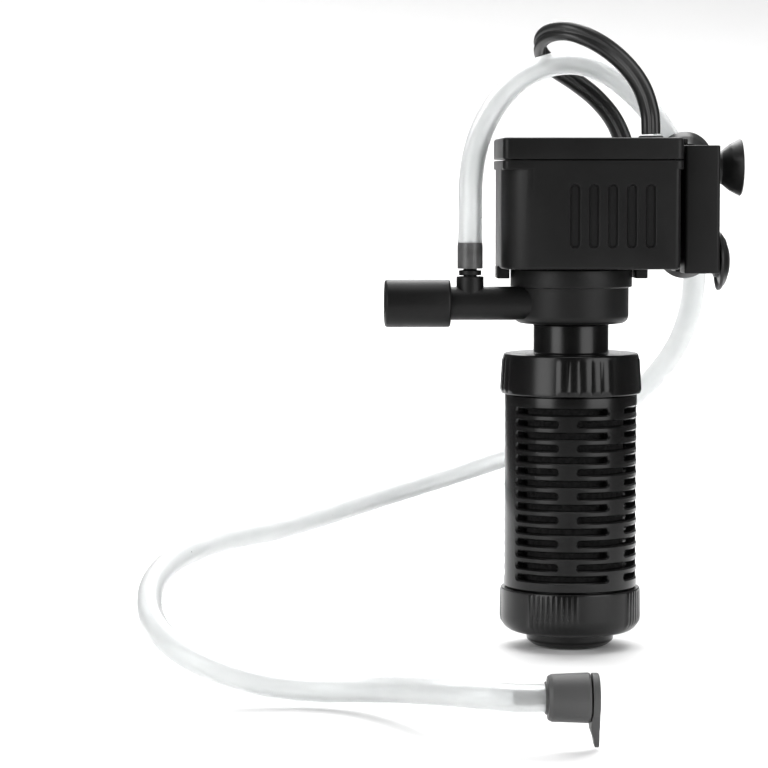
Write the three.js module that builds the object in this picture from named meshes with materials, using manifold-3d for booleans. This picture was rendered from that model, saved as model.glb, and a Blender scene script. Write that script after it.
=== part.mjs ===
// Internal power filter: a small submersible pump head on a slotted sponge cartridge, with an air line,
// a suction-cup bracket and a stowed mains lead.
// Millimetres, +Z up. The origin is the centre of the cartridge's flat base, +X points at the bracket,
// -X at the water outlet, and -Y is the grooved front of the pump.
import * as THREE from "three";
import { mergeVertices } from "three/addons/utils/BufferGeometryUtils.js";
import Module from "manifold-3d";

const wasm = await Module();
wasm.setup();

// ---------------------------------------------------------------- driving sizes
const GAP = 0.3; // between pieces that touch
const RUN = 0.4; // between pieces that turn or slide on each other
const OVERLAP = 0.1; // how far two shapes that are joined run into each other
const ROUND = 36; // sides of a large round part
const SMALL_ROUND = 16; // sides of a small round part
const CAGE_ROUND = 32; // sides of the slotted cage

// cartridge
const BOSS_HEIGHT = 3.8;
const BOSS_RADIUS = 11.75;
const BOSS_FLAT_RADIUS = 10;
const BOSS_CHAMFER = 1.2; // height of the slope round the boss's flat base
const CAGE_LENGTH = 52.6; // from the bottom cap to the collar
const CAGE_RADIUS = 17.9;
const CAGE_WALL = 1.5;
const CAGE_TENON = 7; // the plain ends that go into the cap and the collar
const TENON_STEP = 1.3; // the tenons are this much smaller in radius than the cage
const CAP_HEIGHT = 11.9;
const CAP_STEP = 0.9; // the bottom cap is this much larger in radius than the cage
const CAP_FILLET = 4;
const CAP_SOCKET = 8; // how deep the cage sits in the bottom cap
const SLOT_PITCH = 3.19;
const SLOT_HEIGHT = 1.5;
const SLOT_MARGIN = 3.8; // from the bottom cap to the middle of the first slot row
const SLOT_STEP = 18; // degrees between the points of a slot's curved sides
const LONG_ROW = [[-59.5, 29.5], [48.5, 91.5]]; // where slots start and end, in degrees from the front
const SPLIT_ROW = [[-59.5, -16.5], [0.9, 91.5]];
const COLLAR_HEIGHT = 10.9;
const COLLAR_STEP_TOP = 0.4; // larger in radius than the cage, at the collar's top
const COLLAR_STEP_BASE = 1; // and at its base
const COLLAR_CHAMFER = 0.6;
const COLLAR_WALL = 1.6;
const NECK_HEIGHT = 7.7;
const NECK_RADIUS = 10.15;
const NECK_BORE_RADIUS = 8.8;
const SPONGE_CLEARANCE = 0.5; // inside the cage
const SPONGE_BORE_RADIUS = 4;
const SEAL_HEIGHT = 2;

// impeller chamber
const CHAMBER_BODY_HEIGHT = 9.8;
const CHAMBER_BODY_RADIUS = 15.5;
const CHAMBER_RING_HEIGHT = 4.8;
const CHAMBER_RING_STEP = 0.9; // the ring is this much larger in radius than the body
const CHAMBER_FILLET = 2.2;
const CHAMBER_WALL = 1.6;
const CHAMBER_SEAL_WIDTH = 2.4;
const INLET_RADIUS = 7;
const INLET_WALL = 1.2;
const INLET_DEPTH = 6.6; // how far the inlet spigot goes into the neck
const SPIDER_WIDTH = 1.6;
const SPIDER_ARMS = 3;
const SPIDER_DROP = 1; // below the chamber's underside
const SPIDER_FLOOR = 0.8; // under the lower bush
const OUTLET_RADIUS = 4.5;
const OUTLET_BORE_RADIUS = 3.3;
const OUTLET_AXIS_DROP = 4.2; // from the top of the chamber body to the outlet axis
const OUTLET_OFFSET = 6; // the outlet leaves this far in front of the axis
const SLEEVE_RADIUS = 6.4;
const SLEEVE_FROM_NOZZLE = 5.3; // from the nozzle's axis to the sleeve's near end
const SLEEVE_LENGTH = 17.6;
const SLEEVE_CHAMFER = 0.8;
const SLEEVE_MOUTH_RADIUS = 5.2;
const SLEEVE_MOUTH_DEPTH = 5.4;
const SLEEVE_STOP = 0.2; // from the outlet's end to the step in the mouth

// air nozzle
const NOZZLE_FROM_BODY = 12.2; // from the chamber's side to the nozzle's axis
const NOZZLE_BOSS_RADIUS = 3.65;
const NOZZLE_BOSS_RISE = 7.2; // above the outlet axis
const NOZZLE_BORE_RADIUS = 2.1;
const NOZZLE_FLANGE_RADIUS = 3;
const NOZZLE_FLANGE_HEIGHT = 1.3;
const NOZZLE_BARB_LENGTH = 7.6;
const NOZZLE_TENON = 3; // how deep the nozzle sits in its boss
const BARB_RADIUS = 1.85;
const BARB_NECK_RADIUS = 1.5;
const BARB_BORE_RADIUS = 0.8;
const BARBS = 3;

// pump head
const HEAD_LENGTH = 47.1;
const HEAD_DEPTH = 37;
const HEAD_HEIGHT = 28.8; // floor to seam
const HEAD_WALL = 2;
const HEAD_LEFT_CORNER = 8.8;
const HEAD_RIGHT_CORNER = 1.6;
const ROOM_CORNER = 1;
const LIP_HEIGHT = 2.4;
const LID_CORNER = 1.8;
const LID_HEIGHT = 5.7;
const LID_WALL = 1.8;
const LID_RIGHT_OVERHANG = 0.75;
const LID_TONGUE_DEPTH = 1.6; // the rim inside the housing
const LID_TONGUE_WALL = 1.2;
const TAB_LENGTH = 3; // the lid's tab above the bracket
const TAB_WIDTH = 6;
const TAB_THICKNESS = 1.6;
const TAB_HOLE_RADIUS = 0.8;
const TAB_HOLE_FROM_LID = 1.8;
const GROOVE_COUNT = 5;
const GROOVE_LAST_INSET = 8; // from the last groove to the housing's right end
const GROOVE_PITCH = 5;
const GROOVE_WIDTH = 2.3;
const GROOVE_LENGTH = 16.6;
const GROOVE_DEPTH = 0.9;
const GROOVE_MIDDLE_RISE = 14.1; // above the head's floor
const CLIP_SPACE = 0.5; // from the chamber's ring to a clip lug
const CLIP_OVERHANG = 0.5; // the left lug stands this far proud of the housing
const CLIP_THICKNESS = 3.4;
const CLIP_WIDTH = 8;
const CLIP_DROP = 2.8;
const CLIP_WINDOW_WIDTH = 2;
const CLIP_BAR = 0.8; // above and below the window

// rotor and stator
const MAGNET_RADIUS = 4.6;
const MAGNET_LENGTH = 16;
const MAGNET_RISE = 3; // above the head's floor
const WELL_HEADROOM = 4; // above the magnet
const WELL_CLEARANCE = 0.5;
const WELL_WALL = 0.9;
const SHAFT_RADIUS = 1;
const BUSH_RISE = 1.2; // from the magnet to the upper bush
const IMPELLER_RADIUS = 9.6;
const IMPELLER_RISE = 2; // above the chamber's floor
const IMPELLER_DISC = 1.2;
const VANE_COUNT = 6;
const VANE_HEIGHT = 5.2;
const VANE_THICKNESS = 1;
const HUB_RADIUS = 2.6;
const CORE_HEIGHT = 10;
const CORE_LEG_WIDTH = 5;
const CORE_YOKE_WIDTH = 4.6;
const CORE_POLE_HALF = 6; // the pole arcs reach this far either side of the axis
const CORE_POLE_GAP = 5; // between the two poles
const BOBBIN_WELL_SPACE = 2.8; // between the rotor well and the bobbins
const BOBBIN_WALL = 0.7;
const BOBBIN_FLANGE = 2.4;
const BOBBIN_FLANGE_THICKNESS = 0.8;
const BOBBIN_SIDE_SPACE = 2; // from a bobbin to the housing's wall
const POTTING_THICKNESS = 2.2;

// suction bracket
const BRACKET_SPACE = 0.75; // from the lid's edge to the bracket
const BRACKET_WIDTH = 9.4;
const BRACKET_INSET = 4; // in from the head's front and back
const BRACKET_WALL = 1.6;
const BRACKET_CORNER = 0.8;
const BRACKET_DROP = 1.2; // below the head's floor
const RAIL_STEM_WIDTH = 9;
const RAIL_HEAD_WIDTH = 15;
const RAIL_HEAD_THICKNESS = 1.6;
const RAIL_RISE = 1; // above the head's floor
const RAIL_DROP = 2.8; // below the seam
const CUP_RADIUS = 7.7;
const CUP_DEPTH = 5.1;
const CUP_LIP = 0.4; // width of the flat ring that meets the glass
const CUP_HUB_RADIUS = 4.4;
const CUP_HUB_LENGTH = 2.1;
const CUP_STEM_RADIUS = 1.9;
const CUP_KNOB_RADIUS = 2.6;
const CUP_KNOB_LENGTH = 1.6;
const CUP_LOWER_RISE = 3; // from the bracket's foot to the lower right cup's axis
const CUP_UPPER_DROP = 5.8; // from the bracket's top to the upper right cup's axis
const REAR_CUP_RISE = 2.3; // the rear pair sits higher than the right pair

// air line: a 6.3 mm tube from the nozzle to the air valve
const TUBE_RADIUS = 3.15;
const TUBE_BORE_RADIUS = 2.15;
const VALVE_X = -19.4;
const VALVE_Y = -151;
const VALVE_Z = 11.3;
const VALVE_RADIUS = 5.6;
const VALVE_LENGTH = 9.4;
const DIAL_THICKNESS = 1.6;
const DIAL_TONGUE_LENGTH = 11;
const DIAL_TONGUE_WIDTH = 4.4;
const DIAL_PLUG_RADIUS = 1.8;
const DIAL_PLUG_LENGTH = 3.6;
const NIPPLE_LENGTH = 7.6;
const AIR_TUBE_ROUTE = [
  [-27.7, -6, 102.1], [-27.7, -6, 110], [-27.6, -6, 117.5], [-27.5, -5.4, 125], [-26.3, -3.7, 133],
  [-23.5, -1.4, 140.8], [-18.8, 1.6, 148], [-12.7, 5, 153.4], [-5, 8.9, 156.8], [3, 12.4, 157.4],
  [10.6, 15.6, 155.2], [17.3, 19, 150.8], [23.3, 22.6, 145.2], [28.4, 25.6, 139], [32.3, 27.2, 131.8],
  [35.2, 28.4, 123], [37.2, 30.6, 113], [38.3, 34.8, 103], [38.7, 41.5, 94], [38.4, 50.5, 85.8],
  [36.5, 60, 77.5], [32, 69, 69], [24.6, 76, 60.5], [13.6, 80, 53], [0, 81, 47.4],
  [-15, 78, 42.8], [-29.5, 70, 39], [-43.5, 56.5, 36.2], [-56.5, 41, 33.9], [-69, 24, 31.9],
  [-81, 6, 30.6], [-92.5, -10, 30.2], [-101.6, -28, 29.2], [-108.2, -46, 27], [-111, -63, 22.8],
  [-109.2, -77.5, 17.2], [-102.9, -87, 12.3], [-93.5, -92, 8.2], [-82.5, -94, 5.2], [-71.5, -95.5, 4.1],
  [-61.5, -100.5, 4.8], [-53.6, -111.5, 6.6], [-47.8, -126, 8.9], [-40.5, -142, 11.1],
  [-32.2, -150, 11.7], [-25.8, -151, 11.3], [-19.7, -151, 11.3],
];

// mains lead: a flat two-core cord, 5.2 by 3.3 mm, most of it folded into a hank behind the cartridge
const CORD_WIDTH = 5.2;
const CORD_THICKNESS = 3.3;
const GLAND_INSET = 5.3; // from the housing's right end
const GLAND_Y = 5;
const GLAND_RADIUS = 3.4; // in the lid
const GLAND_TAIL_RADIUS = 2.7; // inside the housing
const GLAND_RISE = 0.8;
const GLAND_FROM_RESIN = 2;
const GLAND_CHAMFER = 0.5;
const GLAND_BOSS_WALL = 1;
const MAINS_CORD_ROUTE = [
  [22, 5, 138.1], [21.6, 4.8, 144], [19.4, 3.8, 150.4], [15.4, 2.7, 156], [10, 2.2, 160.8],
  [4.6, 2.9, 164], [-0.6, 5, 165.8], [-5, 9.2, 165.6], [-7.2, 15, 163.6], [-6.4, 21, 160.4],
  [-2.6, 25.4, 156.8], [3.2, 27.4, 153.2], [9.4, 28, 148.4], [14.6, 28, 142], [17.8, 28, 133.6],
  [18.4, 28, 123.6], [16.6, 28, 112.6], [13.6, 28, 101.4], [11, 28, 90], [9.8, 28, 78.6],
  [10.2, 28, 67], [11.8, 28, 55.6], [14, 28.2, 44.6], [16.6, 28.2, 34], [18.2, 29.8, 23.6],
  [19.4, 33.6, 14], [20.3, 39.4, 6.8], [21, 46, 3.4],
];
const HANK_TURN = THREE.MathUtils.degToRad(-5.5);
const HANK_NEAR_Y = 42;
const HANK_RUN = 85;
const HANK_FOLD = 33; // middle to middle of the two runs
const HANK_HEIGHT = 15.6; // three turns of cord standing on edge
const TIE_WIDTH = 8;
const TIE_FROM_END = 18; // from the hank's far end, past the plug
const TIE_THICKNESS = 1;
const TAIL_ROUTE = [
  [8.1, 80.3, 18.9], [5.6, 84.4, 20.6], [3.4, 88.4, 21.7], [1.6, 92.2, 22.5], [0.4, 96, 22.9],
  [0, 98.2, 22.95],
];
const PLUG_START_Y = 99;
const PLUG_BODY_LENGTH = 26;
const PLUG_COLLAR_LENGTH = 11;
const PLUG_WIDTH = 35.3;
const PLUG_WAIST_WIDTH = 25;
const PLUG_NECK_WIDTH = 13;
const PLUG_THICKNESS = 13.7;
const PLUG_SHOULDER = 6; // where the collar has flared to the waist
const PLUG_FLARE_START = 8; // from the plug's face
const PLUG_FLARE_END = 5;
const PIN_RADIUS = 2;
const PIN_LENGTH = 19;
const PIN_SPACING = 18.6;

// ---------------------------------------------------------------- sizes that follow from those
const capTop = BOSS_HEIGHT + CAP_HEIGHT;
const collarBase = capTop + CAGE_LENGTH;
const collarTop = collarBase + COLLAR_HEIGHT;
const neckTop = collarTop + NECK_HEIGHT;
const chamberBase = neckTop + GAP;
const chamberShoulder = chamberBase + CHAMBER_BODY_HEIGHT;
const chamberTop = chamberShoulder + CHAMBER_RING_HEIGHT;
const outletZ = chamberShoulder - OUTLET_AXIS_DROP;
const headBase = chamberTop + GAP;
const headSeam = headBase + HEAD_HEIGHT;
const lidBase = headSeam + GAP;
const lidTop = lidBase + LID_HEIGHT;
const bracketBase = headBase - BRACKET_DROP;
const bracketTop = lidTop - TAB_THICKNESS - RUN;

const tenonRadius = CAGE_RADIUS - TENON_STEP;
const capRadius = CAGE_RADIUS + CAP_STEP;
const collarTopRadius = CAGE_RADIUS + COLLAR_STEP_TOP;
const collarBaseRadius = CAGE_RADIUS + COLLAR_STEP_BASE;
const chamberRingRadius = CHAMBER_BODY_RADIUS + CHAMBER_RING_STEP;
const nozzleX = -CHAMBER_BODY_RADIUS - NOZZLE_FROM_BODY;
const sleeveStart = -nozzleX + SLEEVE_FROM_NOZZLE; // along the outlet, from the main axis
const sleeveEnd = sleeveStart + SLEEVE_LENGTH;
const outletEnd = sleeveEnd - SLEEVE_MOUTH_DEPTH - SLEEVE_STOP;
const clipX = chamberRingRadius + CLIP_SPACE + CLIP_THICKNESS / 2;
const headLeft = -clipX - CLIP_THICKNESS / 2 + CLIP_OVERHANG;
const headRight = headLeft + HEAD_LENGTH;
const lidRight = headRight + LID_RIGHT_OVERHANG;
const halfDepth = HEAD_DEPTH / 2;
const glandX = headRight - GLAND_INSET;
const bracketLeft = lidRight + BRACKET_SPACE;
const bracketRight = bracketLeft + BRACKET_WIDTH;
const bracketHalf = halfDepth - BRACKET_INSET;
const bobbinHalfY = CORE_LEG_WIDTH / 2 + GAP + BOBBIN_WALL;
const wellRadius = MAGNET_RADIUS + WELL_CLEARANCE;
const magnetBase = headBase + MAGNET_RISE;
const magnetTop = magnetBase + MAGNET_LENGTH;
const wellTop = magnetTop + WELL_HEADROOM;
const impellerBase = chamberBase + CHAMBER_WALL + IMPELLER_RISE;
const coreBase = headBase + HEAD_WALL + BOBBIN_FLANGE + BOBBIN_WALL + 2 * GAP;
const coreTop = coreBase + CORE_HEIGHT;
const coreMiddle = (coreBase + coreTop) / 2;
const coreRight = headRight - HEAD_WALL - RUN;
const bobbinHalfZ = CORE_HEIGHT / 2 + GAP + BOBBIN_WALL;
const bobbinStart = wellRadius + WELL_WALL + BOBBIN_WELL_SPACE;
const bobbinEnd = coreRight - CORE_YOKE_WIDTH - GAP;
const resinBase = coreMiddle + bobbinHalfZ + BOBBIN_FLANGE + GAP;
const resinTop = resinBase + POTTING_THICKNESS;
const railHeadX = bracketLeft + BRACKET_WALL + RUN;
const coreLegY = halfDepth - HEAD_WALL - BOBBIN_SIDE_SPACE - BOBBIN_FLANGE - bobbinHalfY;

// ---------------------------------------------------------------- materials
const shellBlack = material(0x1b1c1e, 0.42, 0);
const cartridgeBlack = material(0x141416, 0.3, 0);
const rubberBlack = material(0x232425, 0.7, 0);
const cordBlack = material(0x17181a, 0.5, 0);
const valveGrey = material(0x3a3b3d, 0.55, 0);
const spongeGrey = material(0x2b2c2e, 0.95, 0);
const frostedTube = material(0xe2e6e6, 0.45, 0);
const nickel = material(0xb9bbbd, 0.25, 1);
const ferrite = material(0x303134, 0.6, 0.3);
const ceramicWhite = material(0xe8e6df, 0.3, 0);
const lamination = material(0x77797c, 0.5, 0.9);
const copper = material(0xa55a2c, 0.35, 0.9);
const bobbinWhite = material(0xd9d6c8, 0.5, 0);
const resin = material(0x26221e, 0.3, 0);

function material(color, roughness, metalness) {
  return new THREE.MeshStandardMaterial({ color, roughness, metalness });
}

// ---------------------------------------------------------------- solids
function solid(geometry) {
  const bare = geometry.clone();
  bare.deleteAttribute("normal");
  bare.deleteAttribute("uv");
  const merged = mergeVertices(bare, 1e-4);
  const vertProperties = new Float32Array(merged.attributes.position.array);
  const triVerts = facingOut(vertProperties, withoutSlivers(merged.index.array));
  return new wasm.Manifold(new wasm.Mesh({ numProp: 3, vertProperties, triVerts }));
}

// Triangles that lost a side when their corners merged.
function withoutSlivers(index) {
  const kept = [];
  for (let i = 0; i < index.length; i += 3) {
    const [a, b, c] = [index[i], index[i + 1], index[i + 2]];
    if (a !== b && b !== c && c !== a) {
      kept.push(a, b, c);
    }
  }
  return new Uint32Array(kept);
}

// Turns the triangles over when the closed surface faces inwards.
function facingOut(points, index) {
  const corner = (i) => new THREE.Vector3().fromArray(points, 3 * i);
  let volume = 0;
  for (let i = 0; i < index.length; i += 3) {
    volume += corner(index[i]).dot(corner(index[i + 1]).cross(corner(index[i + 2])));
  }
  return volume < 0 ? index.toReversed() : index;
}

function join(first, ...others) {
  return others.reduce((sum, other) => sum.add(other), first);
}

function cut(first, ...others) {
  return others.reduce((rest, other) => rest.subtract(other), first);
}

function mesh(name, shape, look) {
  const { numProp, vertProperties, triVerts } = shape.getMesh();
  const geometry = new THREE.BufferGeometry();
  const points = new Float32Array((vertProperties.length / numProp) * 3);
  for (let i = 0; i < points.length / 3; i += 1) {
    points.set(vertProperties.subarray(i * numProp, i * numProp + 3), 3 * i);
  }
  geometry.setAttribute("position", new THREE.BufferAttribute(points, 3));
  geometry.setIndex(new THREE.BufferAttribute(new Uint32Array(triVerts), 1));
  geometry.computeVertexNormals();
  const made = new THREE.Mesh(geometry, look);
  made.name = name;
  return made;
}

function group(...children) {
  const made = new THREE.Group();
  made.add(...children);
  return made;
}

// A turned shape about Z from [radius, height] pairs that start and end on the axis or close on themselves.
function turned(profile, sides = ROUND) {
  const points = profile.map(([radius, height]) => new THREE.Vector2(radius, height));
  return new THREE.LatheGeometry(points, sides).rotateX(Math.PI / 2);
}

function disc(radius, from, to, sides = ROUND) {
  return solid(turned([[0, from], [radius, from], [radius, to], [0, to]], sides));
}

function pipe(outer, inner, from, to, sides = ROUND) {
  return solid(turned([[inner, from], [outer, from], [outer, to], [inner, to], [inner, from]], sides));
}

function box(x0, x1, y0, y1, z0, z1) {
  const geometry = new THREE.BoxGeometry(x1 - x0, y1 - y0, z1 - z0);
  return solid(geometry.translate((x0 + x1) / 2, (y0 + y1) / 2, (z0 + z1) / 2));
}

// Quarter-round points from one angle to another, both in degrees.
function arc(centreR, centreZ, radius, from, to, steps = 4) {
  const points = [];
  for (let i = 0; i <= steps; i += 1) {
    const angle = THREE.MathUtils.degToRad(from + ((to - from) * i) / steps);
    points.push([centreR + radius * Math.cos(angle), centreZ + radius * Math.sin(angle)]);
  }
  return points;
}

// A rectangle with its own corner radius on the left and on the right.
function plate(x0, x1, halfDepth, leftCorner, rightCorner, from, to) {
  const shape = new THREE.Shape();
  shape.moveTo(x0 + leftCorner, -halfDepth);
  shape.lineTo(x1 - rightCorner, -halfDepth);
  shape.absarc(x1 - rightCorner, -halfDepth + rightCorner, rightCorner, -Math.PI / 2, 0, false);
  shape.absarc(x1 - rightCorner, halfDepth - rightCorner, rightCorner, 0, Math.PI / 2, false);
  shape.absarc(x0 + leftCorner, halfDepth - leftCorner, leftCorner, Math.PI / 2, Math.PI, false);
  shape.absarc(x0 + leftCorner, -halfDepth + leftCorner, leftCorner, Math.PI, 1.5 * Math.PI, false);
  const options = { depth: to - from, bevelEnabled: false, curveSegments: 5 };
  return solid(new THREE.ExtrudeGeometry(shape, options).translate(0, 0, from));
}

// A long shape with round ends, drawn along X.
function stadium(length, width, segments) {
  const half = (length - width) / 2;
  const shape = new THREE.Shape();
  shape.moveTo(-half, -width / 2);
  shape.lineTo(half, -width / 2);
  shape.absarc(half, 0, width / 2, -Math.PI / 2, Math.PI / 2, false);
  shape.absarc(-half, 0, width / 2, Math.PI / 2, 1.5 * Math.PI, false);
  shape.curveSegments = segments;
  return shape;
}

// A round tube along a hand-chosen route.
function tubeAlong(route, radius, steps) {
  const line = new THREE.CatmullRomCurve3(route.map((point) => new THREE.Vector3(...point)));
  const section = new THREE.Shape();
  section.absarc(0, 0, radius, 0, 2 * Math.PI, false);
  const options = { steps, extrudePath: line, curveSegments: 4, bevelEnabled: false };
  return solid(new THREE.ExtrudeGeometry(section, options));
}

// ---------------------------------------------------------------- cartridge
function bottomCap() {
  const socketFloor = capTop - CAP_SOCKET - GAP;
  const outer = turned([
    [0, 0],
    [BOSS_FLAT_RADIUS, 0],
    [BOSS_RADIUS, BOSS_CHAMFER],
    [BOSS_RADIUS, BOSS_HEIGHT],
    ...arc(capRadius - CAP_FILLET, BOSS_HEIGHT + CAP_FILLET, CAP_FILLET, -90, 0),
    [capRadius, capTop],
    [tenonRadius + RUN, capTop],
    [tenonRadius + RUN, socketFloor],
    [0, socketFloor],
  ]);
  return mesh("cartridge_bottom_cap", solid(outer), cartridgeBlack);
}

// One arc-shaped cutter: a wedge of ring between two angles, in degrees from the front.
function slotCutter(from, to, height) {
  const steps = Math.ceil((to - from) / SLOT_STEP);
  const inner = CAGE_RADIUS - CAGE_WALL - 2;
  const outer = CAGE_RADIUS + 2;
  const at = (radius, degrees) => {
    const angle = THREE.MathUtils.degToRad(degrees - 90);
    return new THREE.Vector2(radius * Math.cos(angle), radius * Math.sin(angle));
  };
  const points = [];
  for (let i = 0; i <= steps; i += 1) {
    points.push(at(outer, from + ((to - from) * i) / steps));
  }
  for (let i = steps; i >= 0; i -= 1) {
    points.push(at(inner, from + ((to - from) * i) / steps));
  }
  const options = { depth: SLOT_HEIGHT, bevelEnabled: false };
  const geometry = new THREE.ExtrudeGeometry(new THREE.Shape(points), options);
  return solid(geometry.translate(0, 0, height - SLOT_HEIGHT / 2));
}

// Rows of slots: a long and a short slot, then two slots with a bridge, turn about.
function slotRows() {
  const rowCount = Math.floor((CAGE_LENGTH - 2 * SLOT_MARGIN) / SLOT_PITCH) + 1;
  const cutters = [];
  for (let row = 0; row < rowCount; row += 1) {
    const height = capTop + SLOT_MARGIN + row * SLOT_PITCH;
    const slots = row % 2 === 0 ? LONG_ROW : SPLIT_ROW;
    for (const half of [0, 180]) {
      slots.forEach(([from, to]) => cutters.push(slotCutter(from + half, to + half, height)));
    }
  }
  return cutters;
}

function filterCage() {
  const inner = tenonRadius - CAGE_WALL;
  const wall = turned([
    [inner, capTop - CAGE_TENON],
    [tenonRadius, capTop - CAGE_TENON],
    [tenonRadius, capTop + GAP],
    [CAGE_RADIUS, capTop + GAP],
    [CAGE_RADIUS, collarBase - GAP],
    [tenonRadius, collarBase - GAP],
    [tenonRadius, collarBase + CAGE_TENON],
    [inner, collarBase + CAGE_TENON],
    [inner, capTop - CAGE_TENON],
  ], CAGE_ROUND);
  return mesh("filter_cage", cut(solid(wall), ...slotRows()), cartridgeBlack);
}

function filterSponge() {
  const from = capTop - CAP_SOCKET;
  const to = collarBase + CAGE_TENON;
  const radius = tenonRadius - CAGE_WALL - SPONGE_CLEARANCE;
  return mesh("filter_sponge", pipe(radius, SPONGE_BORE_RADIUS, from, to, 24), spongeGrey);
}

function topCap() {
  const socketTop = collarTop - COLLAR_WALL;
  const profile = turned([
    [NECK_BORE_RADIUS, socketTop],
    [tenonRadius + GAP, socketTop],
    [tenonRadius + GAP, collarBase],
    [collarBaseRadius, collarBase],
    [collarTopRadius, collarTop - COLLAR_CHAMFER],
    [collarTopRadius - COLLAR_CHAMFER, collarTop],
    [NECK_RADIUS, collarTop],
    [NECK_RADIUS, neckTop],
    [NECK_BORE_RADIUS, neckTop],
    [NECK_BORE_RADIUS, socketTop],
  ]);
  return mesh("cartridge_top_cap", solid(profile), cartridgeBlack);
}

function neckSeal() {
  const from = (collarTop + neckTop - SEAL_HEIGHT) / 2;
  const seal = pipe(NECK_BORE_RADIUS - GAP, INLET_RADIUS + GAP, from, from + SEAL_HEIGHT, SMALL_ROUND * 2);
  return mesh("neck_seal", seal, rubberBlack);
}

// ---------------------------------------------------------------- impeller chamber
function impellerChamber() {
  const inner = CHAMBER_BODY_RADIUS - CHAMBER_WALL;
  const floor = chamberBase + CHAMBER_WALL;
  const body = solid(turned([
    [INLET_RADIUS - INLET_WALL, chamberBase - INLET_DEPTH],
    [INLET_RADIUS, chamberBase - INLET_DEPTH],
    [INLET_RADIUS, chamberBase],
    ...arc(CHAMBER_BODY_RADIUS - CHAMBER_FILLET, chamberBase + CHAMBER_FILLET, CHAMBER_FILLET, -90, 0),
    [CHAMBER_BODY_RADIUS, chamberShoulder],
    [chamberRingRadius, chamberShoulder],
    [chamberRingRadius, chamberTop],
    [inner, chamberTop],
    [inner, floor],
    [INLET_RADIUS - INLET_WALL, floor],
    [INLET_RADIUS - INLET_WALL, chamberBase - INLET_DEPTH],
  ]));
  const outlet = alongOutlet(disc(OUTLET_RADIUS, 0, outletEnd, SMALL_ROUND));
  const boss = disc(NOZZLE_BOSS_RADIUS, 0, NOZZLE_BOSS_RISE, SMALL_ROUND)
    .translate([nozzleX, -OUTLET_OFFSET, outletZ]);
  const bore = alongOutlet(disc(OUTLET_BORE_RADIUS, inner / 2, outletEnd + 1, SMALL_ROUND));
  const nozzleBore = disc(NOZZLE_BORE_RADIUS, 0, NOZZLE_BOSS_RISE + 1, SMALL_ROUND)
    .translate([nozzleX, -OUTLET_OFFSET, outletZ]);
  const room = disc(inner, floor, chamberTop + 1);
  const shell = cut(join(body, cut(join(outlet, boss), room)), bore, nozzleBore);
  return mesh("impeller_chamber", join(shell, shaftSpider()), shellBlack);
}

// Turns a shape drawn up Z so that it runs along the outlet, to -X.
function alongOutlet(shape) {
  return shape.rotate([0, -90, 0]).translate([0, -OUTLET_OFFSET, outletZ]);
}

// Arms across the inlet that hold the lower shaft bush.
function shaftSpider() {
  const from = chamberBase - SPIDER_DROP;
  const to = chamberBase + CHAMBER_WALL;
  const reach = INLET_RADIUS - INLET_WALL / 2;
  let spider = disc(HUB_RADIUS + 1, from, to, SMALL_ROUND);
  for (let arm = 0; arm < SPIDER_ARMS; arm += 1) {
    const bar = box(0, reach, -SPIDER_WIDTH / 2, SPIDER_WIDTH / 2, from, to);
    spider = join(spider, bar.rotate([0, 0, (360 / SPIDER_ARMS) * arm]));
  }
  return cut(spider, disc(HUB_RADIUS, from + SPIDER_FLOOR, to + 1, SMALL_ROUND));
}

function chamberSeal() {
  const inner = wellRadius + WELL_WALL + SEAL_HEIGHT;
  const outer = inner + CHAMBER_SEAL_WIDTH;
  const seal = pipe(outer, inner, chamberTop - GAP - SEAL_HEIGHT, chamberTop - GAP, SMALL_ROUND * 2);
  return mesh("chamber_seal", seal, rubberBlack);
}

function outletSleeve() {
  const bore = OUTLET_RADIUS + RUN;
  const sleeve = solid(turned([
    [bore, sleeveStart],
    [SLEEVE_RADIUS - SLEEVE_CHAMFER, sleeveStart],
    [SLEEVE_RADIUS, sleeveStart + SLEEVE_CHAMFER],
    [SLEEVE_RADIUS, sleeveEnd - SLEEVE_CHAMFER],
    [SLEEVE_RADIUS - SLEEVE_CHAMFER, sleeveEnd],
    [SLEEVE_MOUTH_RADIUS, sleeveEnd],
    [SLEEVE_MOUTH_RADIUS, sleeveEnd - SLEEVE_MOUTH_DEPTH],
    [bore, sleeveEnd - SLEEVE_MOUTH_DEPTH],
    [bore, sleeveStart],
  ], SMALL_ROUND + 4));
  return mesh("outlet_sleeve", alongOutlet(sleeve), shellBlack);
}

// Barbs up Z from a start height, as [radius, height] pairs.
function barbs(from, length) {
  const pitch = length / BARBS;
  const points = [];
  for (let i = 0; i < BARBS; i += 1) {
    points.push([BARB_RADIUS, from + i * pitch + 0.1], [BARB_NECK_RADIUS, from + (i + 1) * pitch]);
  }
  return points;
}

function airNozzle() {
  const foot = NOZZLE_BOSS_RISE + GAP;
  const shoulder = foot + NOZZLE_FLANGE_HEIGHT;
  const stem = NOZZLE_BORE_RADIUS - GAP;
  const nozzle = solid(turned([
    [BARB_BORE_RADIUS, foot - NOZZLE_TENON],
    [stem, foot - NOZZLE_TENON],
    [stem, foot],
    [NOZZLE_FLANGE_RADIUS, foot],
    [NOZZLE_FLANGE_RADIUS, shoulder],
    ...barbs(shoulder, NOZZLE_BARB_LENGTH),
    [BARB_BORE_RADIUS, shoulder + NOZZLE_BARB_LENGTH],
    [BARB_BORE_RADIUS, foot - NOZZLE_TENON],
  ], SMALL_ROUND));
  return mesh("air_nozzle", nozzle.translate([nozzleX, -OUTLET_OFFSET, outletZ]), shellBlack);
}

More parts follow.
